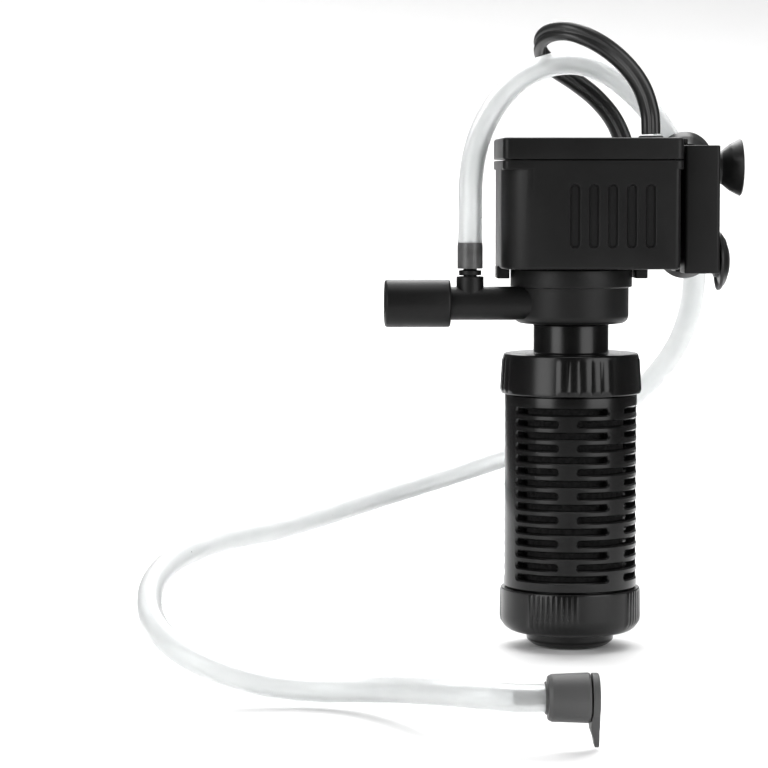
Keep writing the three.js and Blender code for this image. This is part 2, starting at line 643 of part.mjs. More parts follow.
// ---------------------------------------------------------------- rotor
function impeller() {
  const discBase = impellerBase + VANE_HEIGHT;
  let shape = disc(IMPELLER_RADIUS, discBase, discBase + IMPELLER_DISC);
  shape = join(shape, disc(HUB_RADIUS, impellerBase, magnetBase - GAP, SMALL_ROUND));
  for (let vane = 0; vane < VANE_COUNT; vane += 1) {
    const half = VANE_THICKNESS / 2;
    const blade = box(HUB_RADIUS - 1, IMPELLER_RADIUS - 0.4, -half, half, impellerBase, discBase + 0.5);
    shape = join(shape, blade.rotate([0, 0, (360 / VANE_COUNT) * vane]));
  }
  const bore = disc(SHAFT_RADIUS + RUN, impellerBase - 1, magnetBase + 1, SMALL_ROUND);
  return mesh("impeller", cut(shape, bore), cartridgeBlack);
}

function rotorMagnet() {
  const magnet = pipe(MAGNET_RADIUS, SHAFT_RADIUS + RUN, magnetBase, magnetTop, SMALL_ROUND);
  return mesh("rotor_magnet", magnet, ferrite);
}

function shaft() {
  const rod = disc(SHAFT_RADIUS, chamberBase + 1, wellTop - WELL_WALL - 2 * GAP, 12);
  return mesh("impeller_shaft", rod, ceramicWhite);
}

function shaftBush(name, from, to, radius) {
  return mesh(name, pipe(radius - GAP, SHAFT_RADIUS + GAP, from, to, SMALL_ROUND), rubberBlack);
}

// ---------------------------------------------------------------- pump head
function motorHousing() {
  const lipBase = headSeam - LIP_HEIGHT;
  const wall = plate(
    headLeft, headRight, halfDepth, HEAD_LEFT_CORNER, HEAD_RIGHT_CORNER, headBase, lipBase + OVERLAP,
  );
  const lip = plate(headLeft, lidRight, halfDepth, LID_CORNER, LID_CORNER, lipBase, headSeam);
  const room = headRoom(HEAD_WALL, headBase + HEAD_WALL, headSeam + 1);
  const well = disc(wellRadius + WELL_WALL, headBase, wellTop, ROUND / 2);
  const wellRoom = disc(wellRadius, headBase - 1, wellTop - WELL_WALL, ROUND / 2);
  const shell = join(cut(join(wall, lip), room, ...grooves()), well, ...clipLugs(), bracketRail());
  return mesh("motor_housing", cut(shell, wellRoom), shellBlack);
}

// The block of space this far inside the housing's outside.
function headRoom(inset, from, to) {
  const leftCorner = HEAD_LEFT_CORNER - HEAD_WALL;
  return plate(headLeft + inset, headRight - inset, halfDepth - inset, leftCorner, ROOM_CORNER, from, to);
}

// Upright grooves with round ends on the front and on the back of the housing.
function grooves() {
  const cutters = [];
  const middle = headBase + GROOVE_MIDDLE_RISE;
  const options = { depth: 2 * GROOVE_DEPTH, bevelEnabled: false, curveSegments: 4 };
  for (let i = 0; i < GROOVE_COUNT; i += 1) {
    const outline = stadium(GROOVE_LENGTH, GROOVE_WIDTH, 4);
    const upright = new THREE.ExtrudeGeometry(outline, options);
    upright.translate(0, 0, -GROOVE_DEPTH).rotateZ(Math.PI / 2).rotateX(Math.PI / 2);
    const x = headRight - GROOVE_LAST_INSET - i * GROOVE_PITCH;
    for (const side of [-1, 1]) {
      cutters.push(solid(upright.clone().translate(x, side * halfDepth, middle)));
    }
  }
  return cutters;
}

// Two lugs under the floor that the impeller chamber clips to, each with a window.
function clipLugs() {
  const base = headBase - CLIP_DROP;
  return [-1, 1].map((side) => {
    const x0 = side * clipX - CLIP_THICKNESS / 2;
    const x1 = x0 + CLIP_THICKNESS;
    const lug = box(x0, x1, -CLIP_WIDTH / 2, CLIP_WIDTH / 2, base, headBase + HEAD_WALL / 4);
    const half = CLIP_WINDOW_WIDTH / 2;
    return cut(lug, box(x0 - 1, x1 + 1, -half, half, base + CLIP_BAR, headBase - CLIP_BAR));
  });
}

// The T-shaped rail that the suction bracket slides on.
function bracketRail() {
  const from = headBase + RAIL_RISE;
  const to = headSeam - RAIL_DROP;
  const stemHalf = RAIL_STEM_WIDTH / 2;
  const stem = box(headRight - HEAD_WALL / 2, railHeadX + OVERLAP, -stemHalf, stemHalf, from, to);
  const half = RAIL_HEAD_WIDTH / 2;
  const head = box(railHeadX, railHeadX + RAIL_HEAD_THICKNESS, -half, half, from, to);
  return join(stem, head);
}

function housingLid() {
  const rim = HEAD_WALL + GAP;
  const rimBase = lidBase - LID_TONGUE_DEPTH;
  const block = plate(headLeft, lidRight, halfDepth, LID_CORNER, LID_CORNER, lidBase, lidTop);
  const tongue = headRoom(rim, rimBase, lidBase + OVERLAP);
  const room = headRoom(rim + LID_TONGUE_WALL, rimBase - 1, lidTop - LID_WALL);
  const boss = atGland(disc(GLAND_RADIUS + GLAND_BOSS_WALL, lidBase, lidTop, SMALL_ROUND));
  const opening = atGland(disc(GLAND_RADIUS + GAP, rimBase - 1, lidTop + 1, SMALL_ROUND));
  const half = TAB_WIDTH / 2;
  const tab = box(lidRight - LID_CORNER, lidRight + TAB_LENGTH, -half, half, lidTop - TAB_THICKNESS, lidTop);
  const hole = disc(TAB_HOLE_RADIUS, lidBase, lidTop + 1, 10).translate([lidRight + TAB_HOLE_FROM_LID, 0, 0]);
  const shell = join(cut(join(block, tongue), room), boss.intersect(block), tab);
  return mesh("housing_lid", cut(shell, opening, hole), shellBlack);
}

function atGland(shape) {
  return shape.translate([glandX, GLAND_Y, 0]);
}

// A U of laminations: two legs that end in pole arcs about the rotor well, and a yoke.
function statorCore() {
  const halfLeg = CORE_LEG_WIDTH / 2;
  const yoke = box(
    coreRight - CORE_YOKE_WIDTH, coreRight,
    -coreLegY - halfLeg, coreLegY + halfLeg, coreBase, coreTop,
  );
  let core = yoke;
  for (const side of [-1, 1]) {
    const middle = side * coreLegY;
    const leg = box(-CORE_POLE_HALF, coreRight - 1, middle - halfLeg, middle + halfLeg, coreBase, coreTop);
    const innerEdge = side * (coreLegY - halfLeg + OVERLAP);
    const poleEdge = (side * CORE_POLE_GAP) / 2;
    const pole = box(
      -CORE_POLE_HALF, CORE_POLE_HALF,
      Math.min(innerEdge, poleEdge), Math.max(innerEdge, poleEdge), coreBase, coreTop,
    );
    core = join(core, leg, pole);
  }
  const wellHole = disc(wellRadius + WELL_WALL + GAP, coreBase - 1, coreTop + 1, ROUND / 2);
  return mesh("stator_core", cut(core, wellHole), lamination);
}

// A box-section bobbin round one leg, with a flange at each end.
function coilBobbin(name, middleY) {
  const sleeve = (x0, x1, spare) => box(
    x0, x1,
    middleY - bobbinHalfY - spare, middleY + bobbinHalfY + spare,
    coreMiddle - bobbinHalfZ - spare, coreMiddle + bobbinHalfZ + spare,
  );
  const former = sleeve(bobbinStart, bobbinEnd, 0);
  const firstFlange = sleeve(bobbinStart, bobbinStart + BOBBIN_FLANGE_THICKNESS, BOBBIN_FLANGE);
  const lastFlange = sleeve(bobbinEnd - BOBBIN_FLANGE_THICKNESS, bobbinEnd, BOBBIN_FLANGE);
  const bore = sleeve(bobbinStart - 1, bobbinEnd + 1, -BOBBIN_WALL);
  return mesh(name, cut(join(former, firstFlange, lastFlange), bore), bobbinWhite);
}

function coilWinding(name, middleY) {
  const x0 = bobbinStart + BOBBIN_FLANGE_THICKNESS + GAP;
  const x1 = bobbinEnd - BOBBIN_FLANGE_THICKNESS - GAP;
  const ring = (spare, margin) => box(
    x0 - margin, x1 + margin,
    middleY - bobbinHalfY - spare, middleY + bobbinHalfY + spare,
    coreMiddle - bobbinHalfZ - spare, coreMiddle + bobbinHalfZ + spare,
  );
  return mesh(name, cut(ring(BOBBIN_FLANGE - GAP, 0), ring(GAP, 1)), copper);
}

function pottingResin() {
  const slab = headRoom(HEAD_WALL + GAP, resinBase, resinTop);
  const wellHole = disc(wellRadius + WELL_WALL + GAP, resinBase - 1, resinTop + 1, ROUND / 2);
  return mesh("potting_resin", cut(slab, wellHole), resin);
}

function cableGland() {
  const from = resinTop + GLAND_FROM_RESIN;
  const to = lidTop + GLAND_RISE;
  const gland = solid(turned([
    [0, from],
    [GLAND_TAIL_RADIUS - GLAND_CHAMFER, from],
    [GLAND_TAIL_RADIUS, lidBase],
    [GLAND_RADIUS, lidBase],
    [GLAND_RADIUS, to - GLAND_CHAMFER],
    [GLAND_RADIUS - GLAND_CHAMFER, to],
    [0, to],
  ], SMALL_ROUND));
  return mesh("cable_gland", atGland(gland), rubberBlack);
}

// ---------------------------------------------------------------- suction bracket
const rearCupX = (bracketLeft + bracketRight) / 2;
const rightCupHeights = [bracketBase + CUP_LOWER_RISE, bracketTop - CUP_UPPER_DROP];
const rearCupHeights = rightCupHeights.map((height) => height + REAR_CUP_RISE);

function suctionBracket() {
  const half = bracketHalf;
  const inner = half - BRACKET_WALL;
  const block = plate(bracketLeft, bracketRight, half, BRACKET_CORNER, BRACKET_CORNER, bracketBase, bracketTop);
  const room = box(
    bracketLeft + BRACKET_WALL, bracketRight - BRACKET_WALL, -inner, inner,
    bracketBase - 1, bracketTop + 1,
  );
  const slotHalf = RAIL_STEM_WIDTH / 2 + RUN;
  const slot = box(
    bracketLeft - 1, bracketLeft + BRACKET_WALL + 1, -slotHalf, slotHalf,
    bracketBase - 1, bracketTop + 1,
  );
  const hole = CUP_STEM_RADIUS + GAP;
  const rightHoles = rightCupHeights.map((height) =>
    disc(hole, 0, 6, 12).rotate([0, 90, 0]).translate([bracketRight - 3, 0, height]));
  const rearHoles = rearCupHeights.map((height) =>
    disc(hole, 0, 6, 12).rotate([-90, 0, 0]).translate([rearCupX, half - 3, height]));
  return mesh("suction_bracket", cut(block, room, slot, ...rightHoles, ...rearHoles), shellBlack);
}

// A cup drawn up Z from the wall's outer face, with its knob behind the wall.
function suctionCup(name, everted) {
  const knobTop = -BRACKET_WALL - GAP;
  const hubTop = GAP + CUP_HUB_LENGTH;
  const rim = hubTop + CUP_DEPTH;
  const back = [
    [0, knobTop - CUP_KNOB_LENGTH],
    [CUP_STEM_RADIUS, knobTop - CUP_KNOB_LENGTH],
    [CUP_KNOB_RADIUS, knobTop],
    [CUP_STEM_RADIUS, knobTop],
    [CUP_STEM_RADIUS, GAP],
    [CUP_HUB_RADIUS, GAP],
    [CUP_HUB_RADIUS, hubTop],
  ];
  const bell = [
    [CUP_RADIUS * 0.82, hubTop + CUP_DEPTH * 0.42],
    [CUP_RADIUS, rim - 0.3],
    [CUP_RADIUS - 0.2, rim],
    [CUP_RADIUS - 0.2 - CUP_LIP, rim],
    [CUP_RADIUS * 0.7, hubTop + CUP_DEPTH * 0.52],
    [CUP_HUB_RADIUS * 0.6, hubTop + 0.9],
    [0, hubTop + 0.6],
  ];
  const popped = [
    [CUP_RADIUS * 0.8, hubTop - 0.4],
    [CUP_RADIUS + 0.3, hubTop - 1.2],
    [CUP_RADIUS + 0.1, hubTop - 0.4],
    [CUP_RADIUS * 0.75, hubTop + 1],
    [CUP_RADIUS * 0.4, hubTop + 1.9],
    [0, hubTop + 2.2],
  ];
  return mesh(name, solid(turned([...back, ...(everted ? popped : bell)], SMALL_ROUND + 4)), rubberBlack);
}

function suctionCups() {
  const cups = [];
  ["lower", "upper"].forEach((level, i) => {
    const right = suctionCup(`suction_cup_right_${level}`, level === "lower");
    right.rotation.y = Math.PI / 2;
    right.position.set(bracketRight, 0, rightCupHeights[i]);
    const rear = suctionCup(`suction_cup_rear_${level}`, false);
    rear.rotation.x = -Math.PI / 2;
    rear.position.set(rearCupX, bracketHalf, rearCupHeights[i]);
    cups.push(right, rear);
  });
  return cups;
}

// ---------------------------------------------------------------- air line
function airTube() {
  const tube = tubeAlong(AIR_TUBE_ROUTE, TUBE_RADIUS, 76);
  const [startX, startY, startZ] = AIR_TUBE_ROUTE[0];
  const nozzleEnd = disc(TUBE_BORE_RADIUS, startZ - 2, startZ + NOZZLE_BARB_LENGTH + 0.6, 12)
    .translate([startX, startY, 0]);
  const valveEnd = disc(TUBE_BORE_RADIUS, -2, NIPPLE_LENGTH + 0.6, 12)
    .rotate([0, -90, 0])
    .translate([AIR_TUBE_ROUTE.at(-1)[0], VALVE_Y, VALVE_Z]);
  return mesh("air_tube", cut(tube, nozzleEnd, valveEnd), frostedTube);
}

// Drawn up Z and turned to point along +X, with its face at the origin.
function airValveBody() {
  const body = solid(turned([
    [0, -NIPPLE_LENGTH],
    [BARB_NECK_RADIUS, -NIPPLE_LENGTH],
    [BARB_RADIUS, -NIPPLE_LENGTH + 1.5],
    [BARB_NECK_RADIUS, -NIPPLE_LENGTH + 1.6],
    [BARB_RADIUS, -NIPPLE_LENGTH + 4],
    [BARB_NECK_RADIUS, -NIPPLE_LENGTH + 4.1],
    [BARB_NECK_RADIUS, 0],
    [VALVE_RADIUS - 0.5, 0],
    [VALVE_RADIUS, 0.5],
    [VALVE_RADIUS, VALVE_LENGTH],
    [DIAL_PLUG_RADIUS + RUN, VALVE_LENGTH],
    [DIAL_PLUG_RADIUS + RUN, VALVE_LENGTH - DIAL_PLUG_LENGTH - RUN],
    [0, VALVE_LENGTH - DIAL_PLUG_LENGTH - RUN],
  ], SMALL_ROUND));
  return mesh("air_valve_body", body, valveGrey);
}

function airValveDial() {
  const face = VALVE_LENGTH + RUN;
  const plug = disc(DIAL_PLUG_RADIUS, VALVE_LENGTH - DIAL_PLUG_LENGTH, face + OVERLAP, 12);
  const dial = disc(VALVE_RADIUS - OVERLAP, face, face + DIAL_THICKNESS, SMALL_ROUND);
  const half = DIAL_TONGUE_WIDTH / 2;
  const tongue = box(0, DIAL_TONGUE_LENGTH, -half, half, face + OVERLAP, face + DIAL_THICKNESS);
  return mesh("air_valve_dial", join(plug, dial, tongue), valveGrey);
}

function airValve() {
  const valve = group(airValveBody(), airValveDial());
  valve.rotation.y = Math.PI / 2;
  valve.position.set(VALVE_X, VALVE_Y, VALVE_Z);
  return valve;
}

// ---------------------------------------------------------------- mains lead
const cordRadius = (CORD_WIDTH + CORD_THICKNESS) / 4;
const hankBase = 0.2;
const hankTop = hankBase + HANK_HEIGHT;
const hankLength = HANK_RUN + HANK_FOLD + CORD_THICKNESS;
const hankWidth = HANK_FOLD + CORD_THICKNESS;
const hankMiddleY = HANK_NEAR_Y + hankLength / 2;

function mainsCord() {
  return mesh("mains_cord", tubeAlong(MAINS_CORD_ROUTE, cordRadius, 46), cordBlack);
}

function mainsHank() {
  const options = { depth: HANK_HEIGHT, bevelEnabled: false, curveSegments: 10 };
  const geometry = new THREE.ExtrudeGeometry(stadium(hankLength, hankWidth, 10), options);
  geometry.rotateZ(Math.PI / 2).translate(0, hankMiddleY, hankBase);
  return mesh("mains_hank", solid(geometry), cordBlack);
}

function hankTie() {
  const halfWidth = hankWidth / 2 + GAP;
  const y0 = HANK_NEAR_Y + hankLength - TIE_FROM_END - TIE_WIDTH;
  const outer = box(
    -halfWidth - TIE_THICKNESS, halfWidth + TIE_THICKNESS, y0, y0 + TIE_WIDTH,
    0, hankTop + GAP + TIE_THICKNESS,
  );
  const inner = box(-halfWidth, halfWidth, y0 - 1, y0 + TIE_WIDTH + 1, -1, hankTop + GAP);
  return mesh("hank_tie", cut(outer, inner), cordBlack);
}

function plugBody() {
  const collar = PLUG_COLLAR_LENGTH;
  const end = collar + PLUG_BODY_LENGTH;
  const neck = PLUG_NECK_WIDTH / 2;
  const waist = PLUG_WAIST_WIDTH / 2;
  const face = PLUG_WIDTH / 2;
  const outline = new THREE.Shape();
  outline.moveTo(-neck, 0);
  outline.lineTo(neck, 0);
  outline.lineTo(neck, collar);
  outline.quadraticCurveTo(waist, collar, waist, collar + PLUG_SHOULDER);
  outline.quadraticCurveTo(waist, end - PLUG_FLARE_START, face, end - PLUG_FLARE_END);
  outline.lineTo(face, end);
  outline.lineTo(-face, end);
  outline.lineTo(-face, end - PLUG_FLARE_END);
  outline.quadraticCurveTo(-waist, end - PLUG_FLARE_START, -waist, collar + PLUG_SHOULDER);
  outline.quadraticCurveTo(-waist, collar, -neck, collar);
  const options = { depth: PLUG_THICKNESS, bevelEnabled: false, curveSegments: 6 };
  const geometry = new THREE.ExtrudeGeometry(outline, options);
  geometry.translate(0, PLUG_START_Y, hankTop + GAP);
  return mesh("plug_body", solid(geometry), cordBlack);
}

function plugPin(name, x) {
  const from = PLUG_START_Y + PLUG_COLLAR_LENGTH + PLUG_BODY_LENGTH + GAP;
  const pin = mesh(name, disc(PIN_RADIUS, 0, PIN_LENGTH - GAP, 16), nickel);
  pin.rotation.x = -Math.PI / 2;
  pin.position.set(x, from, hankTop + GAP + PLUG_THICKNESS / 2);
  return pin;
}

function stowedLead() {
  const tail = mesh("mains_cord_tail", tubeAlong(TAIL_ROUTE, cordRadius, 8), cordBlack);
  const pins = [plugPin("plug_pin_left", -PIN_SPACING / 2), plugPin("plug_pin_right", PIN_SPACING / 2)];
  const lead = group(mainsHank(), hankTie(), tail, plugBody(), ...pins);
  lead.rotation.z = HANK_TURN;
  return lead;
}

// ---------------------------------------------------------------- assembly
const cartridge = group(filterCage(), filterSponge(), topCap(), neckSeal(), bottomCap());
const rotor = group(impeller(), rotorMagnet());
const motor = group(
  motorHousing(), housingLid(), statorCore(), pottingResin(), cableGland(), shaft(),
  coilBobbin("coil_bobbin_front", -coreLegY), coilBobbin("coil_bobbin_rear", coreLegY),
  coilWinding("coil_winding_front", -coreLegY), coilWinding("coil_winding_rear", coreLegY),
  shaftBush("shaft_bush_upper", magnetTop + BUSH_RISE, wellTop - WELL_WALL - GAP, wellRadius),
  shaftBush("shaft_bush_lower", chamberBase, chamberBase + CHAMBER_WALL, HUB_RADIUS),
);
const chamber = group(impellerChamber(), chamberSeal(), airNozzle(), outletSleeve());
const bracket = group(suctionBracket(), ...suctionCups());
const airLine = group(airTube(), airValve());
const mains = group(mainsCord(), stowedLead());

export default group(cartridge, rotor, motor, chamber, bracket, airLine, mains);
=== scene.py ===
"""The looks of an internal power filter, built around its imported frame.

The piece functions work in millimetres, and place() turns a finished mesh into metres.
+X points at the suction bracket, -X at the water outlet, and -Y is the grooved front of the pump."""

import math

import bmesh
import bpy
import numpy as np
from mathutils import Matrix, Vector


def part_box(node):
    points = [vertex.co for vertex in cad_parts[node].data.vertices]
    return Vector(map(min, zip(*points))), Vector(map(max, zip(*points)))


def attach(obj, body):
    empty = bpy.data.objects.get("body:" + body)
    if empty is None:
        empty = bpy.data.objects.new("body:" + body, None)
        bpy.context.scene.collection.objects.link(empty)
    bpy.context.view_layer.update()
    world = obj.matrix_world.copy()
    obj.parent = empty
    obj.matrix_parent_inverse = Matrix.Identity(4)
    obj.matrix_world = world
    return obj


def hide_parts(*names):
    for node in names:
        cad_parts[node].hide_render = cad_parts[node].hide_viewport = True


MM = 0.001
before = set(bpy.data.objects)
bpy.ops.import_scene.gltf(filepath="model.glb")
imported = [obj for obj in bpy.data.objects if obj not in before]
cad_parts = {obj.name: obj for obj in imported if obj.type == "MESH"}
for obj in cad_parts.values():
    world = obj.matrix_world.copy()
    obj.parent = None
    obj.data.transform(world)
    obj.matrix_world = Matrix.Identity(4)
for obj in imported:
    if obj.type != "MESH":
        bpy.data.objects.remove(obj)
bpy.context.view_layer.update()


def box_mm(node):
    """The lowest and highest corner of a CAD node, in millimetres."""
    low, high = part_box(node)
    return np.array(low) / MM, np.array(high) / MM


# ---------------------------------------------------------------- sizes, in millimetres
GAP = 0.3  # between pieces that touch
ROUND = 96  # sides of a large round piece
SMALL_ROUND = 48  # sides of a small round piece

_, cap_high = box_mm("cartridge_bottom_cap")
collar_low, collar_high = box_mm("cartridge_top_cap")
_, cage_high = box_mm("filter_cage")
sponge_low, sponge_high = box_mm("filter_sponge")
chamber_low, chamber_high = box_mm("impeller_chamber")
_, housing_high = box_mm("motor_housing")
lid_low, lid_high = box_mm("housing_lid")
bracket_low, bracket_high = box_mm("suction_bracket")
sleeve_low, sleeve_high = box_mm("outlet_sleeve")
nozzle_low, nozzle_high = box_mm("air_nozzle")
gland_low, gland_high = box_mm("cable_gland")
dial_low, _ = box_mm("air_valve_dial")
valve_low, valve_high = box_mm("air_valve_body")

CAP_TOP = cap_high[2]
CAP_RADIUS = cap_high[0]
CAP_FILLET = 4
BOSS_RADIUS = 11.75
BOSS_FLAT_RADIUS = 10
BOSS_HEIGHT = 3.8
CAP_FLOOR = CAP_TOP - 8.3
CAP_RIBS = 9
CAP_RIB_PITCH = 4.8  # degrees
CAGE_RADIUS = cage_high[0]
CAGE_WALL = 1.5
CAGE_TENON = 7
TENON_RADIUS = 16.6
SLOT_PITCH = 3.19
SLOT_HEIGHT = 1.5
SLOT_CHAMFER = 0.42
SLOT_MARGIN = 3.8
LONG_ROW = ((-59.5, 29.5), (48.5, 91.5))  # degrees from the front, positive towards +X
SPLIT_ROW = ((-59.5, -16.5), (0.9, 91.5))
SPONGE_BORE_RADIUS = 4
COLLAR_BASE = collar_low[2]
COLLAR_RADIUS_BASE = collar_high[0]
COLLAR_RADIUS_TOP = 18.3
COLLAR_HEIGHT = 10.9
COLLAR_RIBS = 5
COLLAR_RIB_PITCH = 9.4  # degrees
RIB_GROUPS = 4
NECK_TOP = collar_high[2]
NECK_RADIUS = 10.15
NECK_BORE_RADIUS = 8.8

CHAMBER_BASE = NECK_TOP + GAP
CHAMBER_TOP = chamber_high[2]
CHAMBER_SHOULDER = CHAMBER_BASE + 9.8
CHAMBER_RADIUS = 15.5
CHAMBER_RING_RADIUS = 16.4
CHAMBER_WALL = 1.6
INLET_RADIUS = 7
INLET_BORE_RADIUS = 5.8
SPIDER_RADIUS = 3.6
SPIDER_ARM_LENGTH = 6.6
SPIDER_ARM_WIDTH = 1.6
BUSH_ROOM_RADIUS = 2.6
OUTLET_RADIUS = 4.5
OUTLET_BORE_RADIUS = 3.3
OUTLET_START = 2  # inside the chamber, from its middle
OUTLET_END = chamber_low[0]
OUTLET_Y = (sleeve_low[1] + sleeve_high[1]) / 2
OUTLET_Z = (sleeve_low[2] + sleeve_high[2]) / 2
SLEEVE_RADIUS = (sleeve_high[2] - sleeve_low[2]) / 2
SLEEVE_BORE_RADIUS = 4.9
SLEEVE_MOUTH_RADIUS = 5.2
SLEEVE_MOUTH_DEPTH = 5.4
NOZZLE_X = (nozzle_low[0] + nozzle_high[0]) / 2
NOZZLE_BOSS_RADIUS = 3.65
NOZZLE_BOSS_TOP = OUTLET_Z + 7.2
NOZZLE_BORE_RADIUS = 2.1
NOZZLE_STEM_RADIUS = 1.8
NOZZLE_FLANGE_RADIUS = 3
NOZZLE_FLANGE_HEIGHT = 1.3
NOZZLE_AIR_RADIUS = 0.8

HEAD_BASE = CHAMBER_TOP + GAP
HEAD_SEAM = housing_high[2]
HEAD_LEFT = lid_low[0]
HEAD_RIGHT = 27.3
HEAD_HALF_DEPTH = lid_high[1]
HEAD_WALL = 2
HEAD_LEFT_CORNER = 8.8
HEAD_RIGHT_CORNER = 1.6
LIP_HEIGHT = 2.4
LID_CORNER = 1.8
LID_OVERHANG = 0.75
LID_WALL = 1.8
LID_TONGUE_WALL = 1.2
GROOVE_XS = [-0.7 + 5 * i for i in range(5)]
GROOVE_WIDTH = 2.3
GROOVE_LENGTH = 16.6
GROOVE_DEPTH = 0.9
GROOVE_MIDDLE = HEAD_BASE + 14.1
WELL_RADIUS = 5.1
WELL_WALL = 0.9
WELL_TOP = HEAD_BASE + 23
CLIP_X = 18.6
CLIP_THICKNESS = 3.4
CLIP_WIDTH = 8
CLIP_DROP = 2.8
GLAND_X = (gland_low[0] + gland_high[0]) / 2
GLAND_Y = (gland_low[1] + gland_high[1]) / 2
GLAND_RADIUS = 3.4

RAIL_STEM_WIDTH = 9
RAIL_HEAD_WIDTH = 15
RAIL_HEAD_THICKNESS = 1.6
RAIL_HEIGHT = 25
RAIL_CLEARANCE = 0.4
BRACKET_WALL = 1.6
CUP_RADIUS = 7.7
CUP_HUB_RADIUS = 4.4
CUP_HUB_LENGTH = 2.1
CUP_DEPTH = 5.1
CUP_STEM_RADIUS = 1.9
CUP_KNOB_RADIUS = 2.6

TUBE_RADIUS = 3.15
TUBE_BORE_RADIUS = 2.15
TUBE_STRETCH = 0.25  # how much the barb widens the tube
TUBE_GRIP = 10  # how much of the tube the barb shows through
AIR_TUBE_ROUTE = [
  (-27.7, -6, 102.1), (-27.7, -6, 110), (-27.6, -6, 117.5), (-27.5, -5.4, 125), (-26.3, -3.7, 133),
  (-23.5, -1.4, 140.8), (-18.8, 1.6, 148), (-12.7, 5, 153.4), (-5, 8.9, 156.8), (3, 12.4, 157.4),
  (10.6, 15.6, 155.2), (17.3, 19, 150.8), (23.3, 22.6, 145.2), (28.4, 25.6, 139), (32.3, 27.2, 131.8),
  (35.2, 28.4, 123), (37.2, 30.6, 113), (38.3, 34.8, 103), (38.7, 41.5, 94), (38.4, 50.5, 85.8),
  (36.5, 60, 77.5), (32, 69, 69), (24.6, 76, 60.5), (13.6, 80, 53), (0, 81, 47.4),
  (-15, 78, 42.8), (-29.5, 70, 39), (-43.5, 56.5, 36.2), (-56.5, 41, 33.9), (-69, 24, 31.9),
  (-81, 6, 30.6), (-92.5, -10, 30.2), (-101.6, -28, 29.2), (-108.2, -46, 27), (-111, -63, 22.8),
  (-109.2, -77.5, 17.2), (-102.9, -87, 12.3), (-93.5, -92, 8.2), (-82.5, -94, 5.2), (-71.5, -95.5, 4.1),
  (-61.5, -100.5, 4.8), (-53.6, -111.5, 6.6), (-47.8, -126, 8.9), (-40.5, -142, 11.1),
  (-32.2, -150, 11.7), (-25.8, -151, 11.3), (-19.7, -151, 11.3),
]

VALVE_LENGTH = 9.4
VALVE_STEM_RADIUS = 1.5
VALVE_BARB_RADIUS = 1.85
VALVE_STEM_LENGTH = 7.6
DIAL_CLEARANCE = 0.4
DIAL_THICKNESS = 1.6

CORD_WIDTH = 5.2
CORD_THICKNESS = 3.3
CORD_GROOVE = 0.42  # depth of the groove between the two cores
MAINS_CORD_ROUTE = [
  (22, 5, 138.1), (21.6, 4.8, 144), (19.4, 3.8, 150.4), (15.4, 2.7, 156), (10, 2.2, 160.8),
  (4.6, 2.9, 164), (-0.6, 5, 165.8), (-5, 9.2, 165.6), (-7.2, 15, 163.6), (-6.4, 21, 160.4),
  (-2.6, 25.4, 156.8), (3.2, 27.4, 153.2), (9.4, 28, 148.4), (14.6, 28, 142), (17.8, 28, 133.6),
  (18.4, 28, 123.6), (16.6, 28, 112.6), (13.6, 28, 101.4), (11, 28, 90), (9.8, 28, 78.6),
  (10.2, 28, 67), (11.8, 28, 55.6), (14, 28.2, 44.6), (16.6, 28.2, 34), (18.2, 29.8, 23.6),
  (19.4, 33.6, 14), (20.3, 39.4, 6.8), (21, 46, 3.4),
]
# The way the wide side of the flat cord points, at some points of that route.
CORD_WIDE_WAY = [
    (0, (1, 0, 0)), (2, (1, 0, 0.2)), (3, (0.65, 0, 0.75)), (5, (0, 0, 1)), (11, (0, 0, 1)),
    (12, (0.75, 0, 0.65)), (14, (1, 0, 0)), (17, (1, 0, 0)), (21, (0, 1, 0)), (24, (0, 1, 0)),
    (27, (0, 0.1, 1)),
]
HANK_TURN = math.radians(-5.5)
HANK_NEAR_Y = 42
HANK_RUN = 85
HANK_FOLD = 33
HANK_TURNS = 3
HANK_BASE = 0.2
HANK_TOP = HANK_BASE + HANK_TURNS * CORD_WIDTH + GAP
TAIL_ROUTE = [(14.9, 67.5, 18.6), (10.8, 76, 20.2), (5.4, 84.5, 21.8), (1.4, 92.5, 22.7), (0, 99.5, 22.95)]
TIE_WIDTH = 8
TIE_THICKNESS = 1
TIE_FROM_END = 18
PLUG_START_Y = 99
PLUG_BODY_Y = PLUG_START_Y + 11
PLUG_FACE_Y = PLUG_BODY_Y + 26
PLUG_WIDTH = 35.3
PLUG_WAIST_WIDTH = 25.2
PLUG_NECK_WIDTH = 13
PLUG_THICKNESS = 13.7
PLUG_RIBS = 7
PLUG_RIB_PITCH = 1.7
PLUG_RIB_WIDTH = 0.9
PIN_RADIUS = 2
PIN_LENGTH = 19
PIN_SLEEVE_LENGTH = 10
PIN_SPACING = 18.6


# ---------------------------------------------------------------- camera
CAMERA_AZIMUTH = math.radians(-5.5)
CAMERA_DISTANCE = 0.811
CAMERA_HEIGHT = 0.1257
CAMERA_PITCH = math.radians(3.89)
CAMERA_TURN = math.radians(-1.93)
CAMERA_LENS = 140.6


def make_camera():
    data = bpy.data.cameras.new("camera")
    data.lens = CAMERA_LENS
    data.sensor_width = 36
    data.clip_start = 0.01
    camera = bpy.data.objects.new("camera", data)
    bpy.context.scene.collection.objects.link(camera)
    x = CAMERA_DISTANCE * math.sin(CAMERA_AZIMUTH)
    y = -CAMERA_DISTANCE * math.cos(CAMERA_AZIMUTH)
    camera.location = (x, y, CAMERA_HEIGHT)
    camera.rotation_euler = (math.pi / 2 - CAMERA_PITCH, 0, CAMERA_TURN)
    bpy.context.scene.camera = camera


